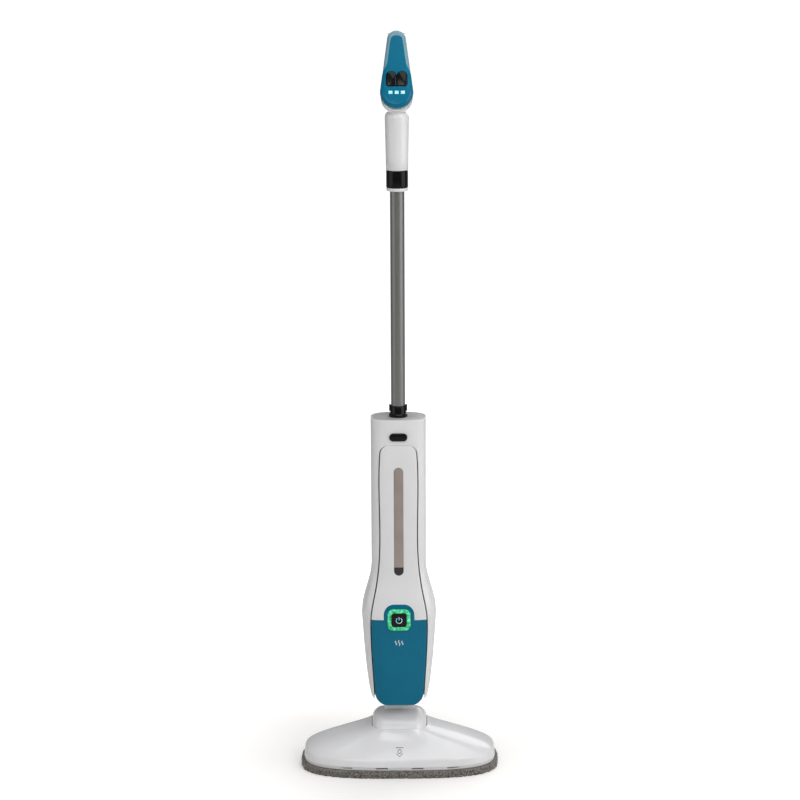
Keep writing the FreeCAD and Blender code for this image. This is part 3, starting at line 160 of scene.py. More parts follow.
def modified(piece: bpy.types.Object, kind: str, **settings: object) -> bpy.types.Object:
    """Add a modifier and apply it.

    Args:
        piece: mesh object.
        kind: modifier type.
        settings: its properties.

    Returns:
        The same object.
    """
    alone(piece)
    modifier = piece.modifiers.new(kind.lower(), kind)
    for name, value in settings.items():
        setattr(modifier, name, value)
    bpy.ops.object.modifier_apply(modifier=modifier.name)
    return piece


def carve(piece: bpy.types.Object, *tools: bpy.types.Object,
          how: str = "DIFFERENCE") -> bpy.types.Object:
    """Cut tools from a piece, or keep what they share, and remove the tools.

    Args:
        piece: mesh object to cut.
        tools: closed mesh objects to cut with.
        how: boolean operation.

    Returns:
        The cut object.
    """
    for tool in tools:
        modified(piece, "BOOLEAN", object=tool, operation=how, solver="EXACT")
        mesh = tool.data
        bpy.data.objects.remove(tool)
        bpy.data.meshes.remove(mesh)
    return piece


def rounded(piece: bpy.types.Object, width: float, segments: int = 3,
            angle: float = EDGE_ANGLE) -> bpy.types.Object:
    """Round the sharp edges of a piece.

    Args:
        piece: mesh object.
        width: rounding in millimetres.
        segments: steps across the rounding.
        angle: edges sharper than this are rounded, in degrees.

    Returns:
        The same object.
    """
    return modified(piece, "BEVEL", width=width * MM, segments=segments, limit_method="ANGLE",
                    angle_limit=math.radians(angle), use_clamp_overlap=True, miter_outer="MITER_ARC")


def smooth(piece: bpy.types.Object, angle: float = EDGE_ANGLE) -> bpy.types.Object:
    """Shade smooth, apart from sharp edges.

    Args:
        piece: mesh object.
        angle: edges sharper than this stay sharp, in degrees.

    Returns:
        The same object.
    """
    alone(piece)
    bpy.ops.object.shade_smooth_by_angle(angle=math.radians(angle))
    return piece


def skinned(name: str, levels: Sequence[float], ring: Ring, count: int) -> bpy.types.Object:
    """Closed form through rings: a circle extruded level by level, each ring moved to its outline.

    Args:
        name: object name.
        levels: one value for each ring, passed on to ring.
        ring: gives a point in millimetres from a level and an angle.
        count: points round each ring.

    Returns:
        The new mesh object.
    """
    deselect()
    bpy.ops.mesh.primitive_circle_add(vertices=count, radius=1.0, fill_type="NGON")
    piece = bpy.context.object
    piece.name = name
    piece.data.name = name
    edit(piece)
    for _ in levels[1:]:
        bpy.ops.mesh.extrude_region_move(TRANSFORM_OT_translate={"value": (0, 0, 1.0)})
    leave_edit()
    for vertex in piece.data.vertices:
        level = levels[round(vertex.co.z)]
        vertex.co = ring(level, math.atan2(vertex.co.y, vertex.co.x)) * MM
    outwards(piece)
    return piece


def block(name: str, low: Vector, high: Vector) -> bpy.types.Object:
    """Cutting block between two corners.

    Args:
        name: object name.
        low: lowest corner in millimetres.
        high: highest corner in millimetres.

    Returns:
        The new mesh object.
    """
    deselect()
    bpy.ops.mesh.primitive_cube_add(size=1.0, location=(0, 0, 0))
    piece = bpy.context.object
    piece.name = name
    for vertex in piece.data.vertices:
        share = vertex.co + Vector((0.5, 0.5, 0.5))
        vertex.co = Vector(low[axis] + (high[axis] - low[axis]) * share[axis] for axis in range(3)) * MM
    return piece


def superellipse(angle: float, half_x: float, half_y: float, exponent: float) -> tuple[float, float]:
    """Point of a rounded rectangle's outline.

    Args:
        angle: place round the outline, in radians.
        half_x: half width.
        half_y: half depth.
        exponent: 2 for an ellipse, more for squarer corners.

    Returns:
        The point's two places.
    """
    across, along = math.cos(angle), math.sin(angle)
    return (half_x * math.copysign(abs(across) ** (2 / exponent), across),
            half_y * math.copysign(abs(along) ** (2 / exponent), along))


def finish_piece(piece: bpy.types.Object, body: Body, slot: Slot, *nodes: str,
                 finish: "Finish | None" = None) -> bpy.types.Object:
    """Give a finished piece its material, its body and the frame nodes that it stands for.

    Args:
        piece: finished object.
        body: body it moves with.
        slot: material slot it takes its finish from.
        nodes: frame nodes that it replaces.
        finish: finish, if not the slot's own.

    Returns:
        The same object.
    """
    piece.data.materials.clear()
    piece.data.materials.append((finish or FINISHES[slot]).material())
    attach(piece, body.value)
    if nodes:
        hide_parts(*nodes)
    LOG.info("%s: %d faces on %s", piece.name, len(piece.data.polygons), body.value)
    return piece


def body_and_slot(node: str) -> tuple[Body, Slot]:
    """Body and material slot that the record gives a node.

    Args:
        node: frame node.

    Returns:
        The body and the slot.
    """
    groups = frame["record"]["behaviour"]["bodies"]
    body = next(name for name, members in groups.items() if node in members)
    slot = next(part["material_slot"] for part in frame["record"]["subparts"] if part["node"] == node)
    return Body(body), Slot(slot)


def node_copy(node: str, name: str) -> bpy.types.Object:
    """Copy of a frame node's mesh, merged and with flat faces joined.

    Args:
        node: frame node to copy.
        name: name of the copy.

    Returns:
        The new object.
    """
    piece = bpy.data.objects.new(name, frame["nodes"][node].data.copy())
    bpy.context.scene.collection.objects.link(piece)
    edit(piece)
    bpy.ops.mesh.customdata_custom_splitnormals_clear()
    bpy.ops.mesh.remove_doubles(threshold=COPY_MERGE_GAP * MM)
    bpy.ops.mesh.dissolve_limited(angle_limit=math.radians(FLAT_ANGLE), delimit={"NORMAL"})
    leave_edit()
    return piece


def moulding(node: str, edge: float, segments: int = 3, angle: float = EDGE_ANGLE,
             finish: "Finish | None" = None) -> bpy.types.Object:
    """A finished copy of a frame node: merged, its edges rounded as a mould leaves them.

    Args:
        node: frame node to copy and replace.
        edge: edge rounding in millimetres.
        segments: steps across the rounding.
        angle: edges sharper than this are rounded, in degrees.
        finish: finish, if not the slot's own.

    Returns:
        The new object.
    """
    piece = node_copy(node, f"{node}_moulding")
    if edge > 0:
        rounded(piece, edge, segments, angle)
    smooth(piece, angle)
    body, slot = body_and_slot(node)
    return finish_piece(piece, body, slot, node, finish=finish)


# ---------------------------------------------------------------- material helpers

def linear(hex_colour: str) -> tuple[float, float, float, float]:
    """Linear colour from an sRGB hex value.

    Args:
        hex_colour: colour as #rrggbb.

    Returns:
        Red, green, blue and alpha.
    """
    values = [int(hex_colour[index:index + 2], 16) / 255 for index in (1, 3, 5)]
    low, slope, offset, power = 0.04045, 12.92, 0.055, 2.4
    turned = [value / slope if value <= low else ((value + offset) / (1 + offset)) ** power
              for value in values]
    return (*turned, 1.0)


def per_mm(size: float) -> float:
    """Texture scale, in cells a metre, for a pattern of a size in millimetres."""
    return 1.0 / (size * MM)


def add_node(tree: bpy.types.NodeTree, kind: str, settings: dict | None = None,
             links: dict | None = None) -> bpy.types.Node:
    """Add a node with its settings and links.

    Args:
        tree: node tree of the material.
        kind: node type.
        settings: values by property, input name or input number.
        links: sockets by input name or number.

    Returns:
        The new node.
    """
    node = tree.nodes.new(kind)
    for name, value in (settings or {}).items():
        if isinstance(name, int) or name in node.inputs.keys():
            node.inputs[name].default_value = value
        else:
            setattr(node, name, value)
    for name, socket in (links or {}).items():
        tree.links.new(socket, node.inputs[name])
    return node


def noise_field(tree: bpy.types.NodeTree, place: bpy.types.NodeSocket, size: float,
                detail: float = 2.0, roughness: float = 0.5) -> bpy.types.NodeSocket:
    """Noise pattern.

    Args:
        tree: node tree of the material.
        place: coordinates that it lies in.
        size: size of the pattern in millimetres.
        detail: how many finer layers it has.
        roughness: how strong each finer layer is.

    Returns:
        The pattern's socket.
    """
    return add_node(tree, "ShaderNodeTexNoise",
                    {"Scale": per_mm(size), "Detail": detail, "Roughness": roughness},
                    {"Vector": place}).outputs["Fac"]


def relief(tree: bpy.types.NodeTree, pattern: bpy.types.NodeSocket, depth: float,
           strength: float = 1.0) -> bpy.types.NodeSocket:
    """Surface relief from a pattern.

    Args:
        tree: node tree of the material.
        pattern: height pattern.
        depth: depth of the relief in millimetres.
        strength: share of the relief that is seen.

    Returns:
        The surface direction's socket.
    """
    return add_node(tree, "ShaderNodeBump", {"Strength": strength, "Distance": depth * MM},
                    {"Height": pattern}).outputs["Normal"]


@dataclass(frozen=True)
class Finish:
    """A surface finish and how it is made.

    Attributes:
        title: real material and surface, which names the material.
        colour: main sRGB colour.
        second: sRGB colour that it varies towards.
        roughness: mean roughness.
    """

    title: str
    colour: str
    second: str
    roughness: float

    def material(self) -> bpy.types.Material:
        """The material, made once."""
        found = bpy.data.materials.get(self.title)
        if found:
            return found
        made = bpy.data.materials.new(self.title)
        made.use_nodes = True
        tree = made.node_tree
        tree.nodes.clear()
        place = add_node(tree, "ShaderNodeTexCoord").outputs["Object"]
        shader = self.shade(tree, place)
        add_node(tree, "ShaderNodeOutputMaterial", links={"Surface": shader})
        return made

    def shade(self, tree: bpy.types.NodeTree, place: bpy.types.NodeSocket) -> bpy.types.NodeSocket:
        """Build the nodes and return the shader's output."""
        raise NotImplementedError(self.title)

    def two_tone(self, tree: bpy.types.NodeTree, share: bpy.types.NodeSocket) -> bpy.types.NodeSocket:
        """Colour between the finish's two colours.

        Args:
            tree: node tree of the material.
            share: where between them, from a pattern.

        Returns:
            The colour's socket.
        """
        ramp = add_node(tree, "ShaderNodeValToRGB", links={"Fac": share})
        ramp.color_ramp.elements[0].color = linear(self.colour)
        ramp.color_ramp.elements[0].position = 0.3
        ramp.color_ramp.elements[1].color = linear(self.second)
        ramp.color_ramp.elements[1].position = 0.75
        return ramp.outputs["Color"]


@dataclass(frozen=True)
class MouldedPlastic(Finish):
    """Injection-moulded plastic.

    Attributes:
        grain: spacing of the surface's ripple or texture, in millimetres.
        depth: its depth, in millimetres.
        smudge: how much handling marks change the roughness.
        coat: gloss of the outermost skin.
        ior: index of refraction.
        shine: share of the mirror light that the skin gives back, 0.5 being plain.
    """

    grain: float = 2.5
    depth: float = 0.01
    smudge: float = 0.06
    coat: float = 0.0
    ior: float = 1.53
    shine: float = 0.5

    def shade(self, tree: bpy.types.NodeTree, place: bpy.types.NodeSocket) -> bpy.types.NodeSocket:
        """Faint mottling, handling marks in the gloss and the mould's ripple.

        Args:
            tree: node tree of the material.
            place: Object coordinates.

        Returns:
            The shader's socket.
        """
        cloud = noise_field(tree, place, MOTTLE_SIZE, 3.0, 0.55)
        marks = noise_field(tree, place, MARK_SIZE, 6.0, 0.65)
        gloss = add_node(tree, "ShaderNodeMapRange",
                         {"From Min": 0.35, "From Max": 0.7, "To Min": self.roughness,
                          "To Max": self.roughness + self.smudge}, {"Value": marks})
        ripple = noise_field(tree, place, self.grain)
        skin = add_node(tree, "ShaderNodeBsdfPrincipled",
                        {"IOR": self.ior, "Coat Weight": self.coat, "Coat Roughness": 0.08,
                         "Specular IOR Level": self.shine},
                        {"Base Color": self.two_tone(tree, cloud),
                         "Roughness": gloss.outputs["Result"],
                         "Normal": relief(tree, ripple, self.depth)})
        return skin.outputs["BSDF"]


@dataclass(frozen=True)
class Metal(Finish):
    """Bare, plated or coated metal.

    Attributes:
        grain: spacing of the drawing lines or grit, in millimetres.
        depth: their depth, in millimetres.
        stretch: how much longer the lines are than wide.
        metallic: 1 for bare metal, less for a coat with metal flakes.
    """

    grain: float = 0.4
    depth: float = 0.01
    stretch: float = 1.0
    metallic: float = 1.0

    def shade(self, tree: bpy.types.NodeTree, place: bpy.types.NodeSocket) -> bpy.types.NodeSocket:
        """Fine lines or grit in colour, gloss and relief.

        Args:
            tree: node tree of the material.
            place: Object coordinates.

        Returns:
            The shader's socket.
        """
        drawn = add_node(tree, "ShaderNodeMapping", {"Scale": (1.0, 1.0, 1.0 / self.stretch)},
                         {"Vector": place})
        grit = noise_field(tree, drawn.outputs["Vector"], self.grain, 4.0)
        gloss = add_node(tree, "ShaderNodeMapRange",
                         {"From Min": 0.3, "From Max": 0.7, "To Min": self.roughness - 0.05,
                          "To Max": self.roughness + 0.08}, {"Value": grit})
        skin = add_node(tree, "ShaderNodeBsdfPrincipled", {"Metallic": self.metallic},
                        {"Base Color": self.two_tone(tree, grit),
                         "Roughness": gloss.outputs["Result"],
                         "Normal": relief(tree, grit, self.depth)})
        return skin.outputs["BSDF"]


@dataclass(frozen=True)
class ClearPlastic(Finish):
    """See-through moulded plastic.

    Attributes:
        clear: share of light let through.
        ior: index of refraction.
    """

    clear: float = 0.5
    ior: float = 1.49

    def shade(self, tree: bpy.types.NodeTree, place: bpy.types.NodeSocket) -> bpy.types.NodeSocket:
        """Tinted plastic with faint flow lines.

        Args:
            tree: node tree of the material.
            place: Object coordinates.

        Returns:
            The shader's socket.
        """
        flow = noise_field(tree, place, FLOW_SIZE, 3.0)
        skin = add_node(tree, "ShaderNodeBsdfPrincipled",
                        {"IOR": self.ior, "Transmission Weight": self.clear, "Roughness": self.roughness},
                        {"Base Color": self.two_tone(tree, flow),
                         "Normal": relief(tree, flow, 0.02, 0.4)})
        return skin.outputs["BSDF"]


@dataclass(frozen=True)
class Glowing(Finish):
    """Diffusing plastic lit from behind.

    Attributes:
        strength: brightness of the light.
        patch: distance between the lamps behind it, in millimetres.
    """

    strength: float = 1.0
    patch: float = 7.0

    def shade(self, tree: bpy.types.NodeTree, place: bpy.types.NodeSocket) -> bpy.types.NodeSocket:
        """Light that is brighter over each lamp.

        Args:
            tree: node tree of the material.
            place: Object coordinates.

        Returns:
            The shader's socket.
        """
        tone = self.two_tone(tree, noise_field(tree, place, self.patch, 1.0))
        skin = add_node(tree, "ShaderNodeBsdfPrincipled",
                        {"Roughness": self.roughness, "Emission Strength": self.strength},
                        {"Base Color": tone, "Emission Color": tone})
        return skin.outputs["BSDF"]


@dataclass(frozen=True)
class Textile(Finish):
    """Looped or woven cloth.

    Attributes:
        loop: size of a loop, in millimetres.
        depth: relief of the fibres, in millimetres.
        sheen: soft light along the fibres.
    """

    loop: float = 3.0
    depth: float = 0.5
    sheen: float = 0.4

    def shade(self, tree: bpy.types.NodeTree, place: bpy.types.NodeSocket) -> bpy.types.NodeSocket:
        """Painted shade: the gaps between lighter loops are darkened, with fibres of random tone across
        them.

        Args:
            tree: node tree of the material.
            place: Object coordinates.

        Returns:
            The shader's socket.
        """
        # Distance from each loop's middle: the gaps take the darker second colour, a painted shade.
        loops = add_node(tree, "ShaderNodeTexVoronoi", {"Scale": per_mm(self.loop)}, {"Vector": place})
        fibres = noise_field(tree, place, self.loop / 6, 5.0)
        mixed = add_node(tree, "ShaderNodeMath", {"operation": "MULTIPLY_ADD", 1: 0.8},
                         {0: loops.outputs["Distance"], 2: fibres})
        gap_shade_and_fibres = add_node(tree, "ShaderNodeMath", {"operation": "SUBTRACT", 1: 0.35},
                           {0: mixed.outputs["Value"]})
        skin = add_node(tree, "ShaderNodeBsdfPrincipled",
                        {"Roughness": self.roughness, "Sheen Weight": self.sheen, "Sheen Roughness": 0.4,
                         "IOR": 1.45},
                        {"Base Color": self.two_tone(tree, gap_shade_and_fibres.outputs["Value"]),
                         "Normal": relief(tree, fibres, self.depth, 0.9)})
        return skin.outputs["BSDF"]


FINISHES: dict[Slot, Finish] = {
    # Polished ABS: bright white, sharp gloss with a faint ripple from the mould.
    Slot.WHITE_ABS: MouldedPlastic("polished_white_abs", "#e4e4e5", "#dededf", 0.16, grain=14, depth=0.02,
                                   coat=0.25),
    # Polished ABS dyed teal: deep colour under a thin, even gloss.
    Slot.TEAL_ABS: MouldedPlastic("polished_teal_abs", "#006c8b", "#006582", 0.16, grain=12, depth=0.02,
                                  coat=0.05, shine=0.16),
    # Satin ABS: soft highlight from a finely sparked mould.
    Slot.LIGHT_GREY_ABS: MouldedPlastic("satin_light_grey_abs", "#e2e2e0", "#dadad8", 0.38, grain=0.9,
                                        depth=0.015),
    # Textured ABS: even grey without a mirror highlight.
    Slot.MID_GREY_ABS: MouldedPlastic("textured_grey_abs", "#b0b0b1", "#a7a7a8", 0.42, grain=0.8,
                                      depth=0.03),
    # Polished black ABS: deep, mirror-like, shows fingerprints.
    Slot.BLACK_ABS: MouldedPlastic("polished_black_abs", "#060607", "#09090a", 0.1, grain=10, depth=0.015,
                                   smudge=0.14, coat=0.1, shine=0.2),
    # Polypropylene: waxy and plain.
    Slot.GREY_PP: MouldedPlastic("plain_grey_polypropylene", "#7d7d7c", "#747473", 0.5, grain=1.2,
                                 depth=0.03, ior=1.49),
    # Acetal: dense cream plastic.
    Slot.BUSH_PLASTIC: MouldedPlastic("turned_acetal", "#dcd8c6", "#d0ccba", 0.4, grain=0.8, depth=0.02,
                                      ior=1.48),
    # Silicone hose: matt, slightly cloudy.
    Slot.SILICONE: MouldedPlastic("extruded_silicone", "#b9b3a6", "#aaa497", 0.55, grain=1.5, depth=0.02,
                                  ior=1.41),
    # Moulded rubber: soft dark grey sheen.
    Slot.BLACK_RUBBER: MouldedPlastic("moulded_black_rubber", "#1c1c1d", "#262627", 0.6, grain=0.7,
                                      depth=0.03, ior=1.52),
    # Fibreglass board under green solder mask: dark green with a low gloss.
    Slot.CIRCUIT_BOARD: MouldedPlastic("solder_masked_board", "#1d5a34", "#174a2a", 0.35, grain=1.0,
                                       depth=0.02),
    # Zinc-plated steel: bright with turning marks.
    Slot.STEEL: Metal("zinc_plated_steel", "#c7c8ca", "#b2b3b6", 0.28, grain=0.6, depth=0.01),
    # Die-cast aluminium: dull with a grainy skin.
    Slot.CAST_ALUMINIUM: Metal("die_cast_aluminium", "#b4b5b6", "#a3a4a5", 0.5, grain=0.9, depth=0.05),
    # Drawn aluminium tube, grey anodised: long fine lines along it.
    Slot.GREY_TUBE: Metal("anodised_grey_aluminium", "#8f8f8d", "#868684", 0.34, grain=0.7, depth=0.01,
                          stretch=40, metallic=0.85),
    # Smoked polycarbonate: brownish and half clear, so the tank shows faintly.
    Slot.SMOKED_LENS: ClearPlastic("smoked_polycarbonate", "#bfb0a8", "#b3a49c", 0.08, clear=0.4, ior=1.58),
    # Moulded clear styrene: colourless, with faint flow lines.
    Slot.TANK_PLASTIC: ClearPlastic("clear_styrene", "#d9dcdc", "#cdd1d1", 0.1, clear=0.75),
    # Milky diffuser over green lamps: uneven light, brighter over each lamp.
    Slot.LIT_RING: Glowing("green_lit_diffuser", "#0c7a46", "#5fe0a4", 0.35, strength=0.55, patch=5.0),
    # Milky diffuser over pale blue lamps: soft even light.
    Slot.LEVEL_LIGHT: Glowing("blue_lit_diffuser", "#7fcfe0", "#bdeef7", 0.35, strength=0.35, patch=8.0),
    # Looped microfibre: grey loops, the gaps between them darkened with painted shade.
    Slot.MICROFIBRE: Textile("looped_grey_microfibre", "#8e8a84", "#4c4945", 0.95, loop=2.6, depth=0.5),
    # Woven nylon hook tape: dark and rough, its gaps between loops darkened with painted shade as well.
    Slot.HOOK_TAPE: Textile("nylon_hook_tape", "#3a3a3c", "#202022", 0.8, loop=1.2, depth=0.3),
}

# Satin ABS in a greyer, lighter teal: painted reflection of the bright surroundings on the rim round the
# handle's inlay, which is the same teal plastic.
PAINTED_REFLECTION_RIM_FINISH = MouldedPlastic("teal_abs_with_painted_reflection", "#6f97a5", "#668e9c", 0.3, grain=0.9, depth=0.01)
# Satin black ABS: the dark foot of the level window, with a broad soft highlight.
WINDOW_FOOT_FINISH = MouldedPlastic("satin_black_abs", "#262524", "#2c2b2a", 0.35, grain=0.9, depth=0.01)


# ---------------------------------------------------------------- head

@dataclass
class MopHead:
    """Pad, tray, top shell and bearings that lie on the floor. Lengths are in millimetres.

    Attributes:
        roundness: exponent of the head's rounded outline.
        pad_points: points round the pad.
        pad_steps: steps across the pad's underside, side and upper side.
        pad_face: share of those steps that lie on each face.
        pad_core: reach of the faces' innermost ring.
        pad_shoulder: reach of the faces' outermost ring.
        loop_size: size of the pad's loops.
        loop_height: how far the loops stand out.
        face_loops: share of that height on the two faces.
        shell_wall: wall of the top shell.
        rim_height: height of the shell's upright edge.
        ledge_in: how far the shell narrows over that edge, in width and depth.
        collar_out: how far the shell's top stands outside the drum's room, in width and depth.
        shell_points: points round the shell.
        shell_steps: steps up the shell's slope.
        drum_radius: radius of the drum's room.
        drum_half: half width of the drum's room.
        drum_corner: rounding of its ends.
        drum_points: points round it.
        notch_half: half width of the neck's notch.
        notch_floor: height of the notch's floor.
    """

    roundness: float = 3.0
    pad_points: int = 640
    pad_steps: int = 34
    pad_face: float = 0.3
    pad_core: float = 0.55
    pad_shoulder: float = 0.97
    loop_size: float = 3.4
    loop_height: float = 1.1
    face_loops: float = 0.35
    shell_wall: float = 2.5
    rim_height: float = 11.0
    ledge_in: tuple[float, float] = (1.5, 3.0)
    collar_out: tuple[float, float] = (3.5, 0.5)
    shell_points: int = 128
    shell_steps: int = 26
    drum_radius: float = 46.7
    drum_half: float = 44.0
    drum_corner: float = 18.7
    drum_points: int = 128
    notch_half: float = 27.3
    notch_floor: float = 51.0

    def __post_init__(self) -> None:
        """Read the places of the frame's nodes."""
        self.pad_low, self.pad_high = (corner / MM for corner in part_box("mop_pad"))
        self.shell_low, self.shell_high = (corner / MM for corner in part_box("head_shell"))
        axle_low, axle_high = (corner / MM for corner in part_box("pitch_axle"))
        self.axis_z = (axle_low.z + axle_high.z) / 2

    def build(self) -> None:
        """Build every piece of the head."""
        self.build_pad()
        self.build_shell()
        moulding("base_plate", 0.5, 2)
        for node in ("pivot_cradle", "pivot_bushes"):
            moulding(node, 0.4, 2)

    def pad_ring(self, level: float, angle: float) -> Vector:
        """Point of the pad's puffed side and its two faces.

        Args:
            level: 0 at the middle of the underside, 1 at the middle of the upper side.
            angle: direction round the pad.

        Returns:
            The point in millimetres.
        """
        height = self.pad_high.z - self.pad_low.z
        face, core, shoulder = self.pad_face, self.pad_core, self.pad_shoulder
        if level < face:
            reach, z = core + (shoulder - core) * level / face, 0.0
        elif level > 1 - face:
            reach, z = core + (shoulder - core) * (1 - level) / face, height
        else:
            turn = math.pi * (level - face) / (1 - 2 * face)
            reach = shoulder + (1 - shoulder) * math.sin(turn) ** 0.6
            z = height * (1 - math.cos(turn)) / 2
        half_x, half_y = self.pad_high.x, self.pad_high.y
        inset = half_y * (1 - reach)
        x, y = superellipse(angle, half_x - inset, half_y - inset, self.roundness)
        point = Vector((x, y, z))
        away = Vector((x / half_x ** 2, y / half_y ** 2, 0)).normalized()
        away = away + Vector((0, 0, (2 * z / height - 1) * 0.8))
        lump = noise.noise(point / self.loop_size) + 0.5 * noise.noise(point / self.loop_size * 2.3)
        edge = 1.0 if face < level < 1 - face else self.face_loops
        point += away * lump * self.loop_height * edge
        point.z = min(max(point.z, 0.0), height + 0.3)
        return point

    def build_pad(self) -> None:
        """Looped microfibre pad with puffed sides."""
        levels = [step / self.pad_steps for step in range(self.pad_steps + 1)]
        pad = skinned("microfibre_pad", levels, self.pad_ring, self.pad_points)
        smooth(pad, 180)
        finish_piece(pad, Body.HEAD, Slot.MICROFIBRE, "mop_pad")

    def shell_size(self, height: float) -> tuple[float, float]:
        """Half width and half depth of the top shell.

        Args:
            height: height in millimetres.

        Returns:
            The two halves in millimetres.
        """
        low, top = self.shell_low.z, self.shell_high.z
        shoulder = low + self.rim_height
        rim = Vector((self.shell_high.x, self.shell_high.y))
        ledge = rim - Vector(self.ledge_in)
        collar = Vector((self.drum_half, self.drum_half)) + Vector(self.collar_out)
        if height <= shoulder:
            size = rim.lerp(ledge, (height - low) / self.rim_height)
            return size.x, size.y
        rise = min((height - shoulder) / (top - shoulder), 1.0)
        wide = (1 - rise ** 1.6) ** 1.35
        deep = (1 - rise) ** 1.4
        return collar.x + (ledge.x - collar.x) * wide, collar.y + (ledge.y - collar.y) * deep

    def shell_body(self, name: str, inset: float) -> bpy.types.Object:
        """Closed form of the shell, or of its hollow when inset.

        Args:
            name: object name.
            inset: wall thickness for the hollow, 0 for the shell itself.

        Returns:
            The new mesh object.
        """
        low, top = self.shell_low.z, self.shell_high.z
        lift = 1 - inset / (top - low)
        lowered = 1.0 if inset else 0.0

        def ring(height: float, angle: float) -> Vector:
            """Point of the shell's outline at a height."""
            half_x, half_y = self.shell_size(height)
            x, y = superellipse(angle, half_x - inset, half_y - inset, self.roundness)
            return Vector((x, y, low + (height - low) * lift - lowered))

        shoulder = low + self.rim_height
        levels = [low, low + 1.2, low + self.rim_height * 0.5, shoulder - 2.2]
        levels += [shoulder + (top - shoulder) * (step / self.shell_steps) ** 1.3
                   for step in range(1, self.shell_steps + 1)]
        return skinned(name, levels, ring, self.shell_points)

    def drum_room(self) -> bpy.types.Object:
        """Form of the drum's room, whose ends are rounded like the drum's.

        Returns:
            The new mesh object.
        """
        straight, corner_steps = self.drum_half - self.drum_corner, 12
        turns = [math.pi / 2 * step / corner_steps for step in range(corner_steps + 1)]
        ends = [(straight + self.drum_corner * math.sin(turn), self.drum_corner * (1 - math.cos(turn)))
                for turn in turns]
        profile = [(-x, drop) for x, drop in reversed(ends)] + ends

        def ring(level: float, angle: float) -> Vector:
            """Point of the room at a step of its profile."""
            x, drop = profile[int(level)]
            radius = self.drum_radius - drop
            return Vector((x, radius * math.cos(angle), self.axis_z + radius * math.sin(angle)))

        return skinned("drum_room", list(range(len(profile))), ring, self.drum_points)

    def build_shell(self) -> None:
        """Top shell, hollow below, open round the drum and notched behind it."""
        shell = self.shell_body("head_top_shell", 0.0)
        hollow = self.shell_body("hollow", self.shell_wall)
        room = self.drum_room()
        notch = block("neck_notch", Vector((-self.notch_half, 0, self.notch_floor)),
                      Vector((self.notch_half, self.pad_high.y, self.shell_high.z + 10)))
        carve(shell, hollow, room, notch)
        rounded(shell, 0.7, 2, SMOOTH_ANGLE)
        smooth(shell, SMOOTH_ANGLE)
        finish_piece(shell, Body.HEAD, Slot.WHITE_ABS, "head_shell")


@dataclass
class Swivel:
    """Tilting drum and neck."""

    def build(self) -> None:
        """Build the drum and the neck."""
        moulding("swivel_drum", 0.3, 2, SMOOTH_ANGLE)
        moulding("neck_yoke", 1.2, 3)


@dataclass
class MainBody:
    """Housings, raised panel, covers and buttons.

    Attributes:
        window_foot: height of the level window's dark foot, in millimetres.
    """

    window_foot: float = 13.0

    def build(self) -> None:
        """Build every piece of the body."""
        for node in ("side_housing", "rear_housing"):
            moulding(node, 0.8, 3, SMOOTH_ANGLE)
        moulding("front_panel", 1.9, 5, SMOOTH_ANGLE)
        moulding("lower_cover", 1.0, 3, SMOOTH_ANGLE)
        self.build_window()
        moulding("light_ring", 1.2, 4)
        moulding("power_button", 0.6, 3)
        moulding("release_button", 1.2, 4)
        for node in ("top_cap", "pole_socket", "cable_gland", "lower_cord_hook"):
            moulding(node, 0.5, 2)

    def build_window(self) -> None:
        """Level window: a smoked lens over a dark foot."""
        low, high = (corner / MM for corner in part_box("level_window"))
        joint = low.z + self.window_foot
        margin = Vector((5, 5, 5))
        for name, start, end, finish in (("window_lens", joint, high.z, None),
                                         ("window_foot", low.z, joint, WINDOW_FOOT_FINISH)):
            piece = node_copy("level_window", name)
            room = block("room", Vector((low.x, low.y, start)) - margin * Vector((1, 1, start == low.z)),
                         Vector((high.x, high.y, end)) + margin * Vector((1, 1, end == high.z)))
            carve(piece, room, how="INTERSECT")
            smooth(rounded(piece, 0.3, 2, SMOOTH_ANGLE), SMOOTH_ANGLE)
            finish_piece(piece, Body.TANK, Slot.SMOKED_LENS, "level_window", finish=finish)


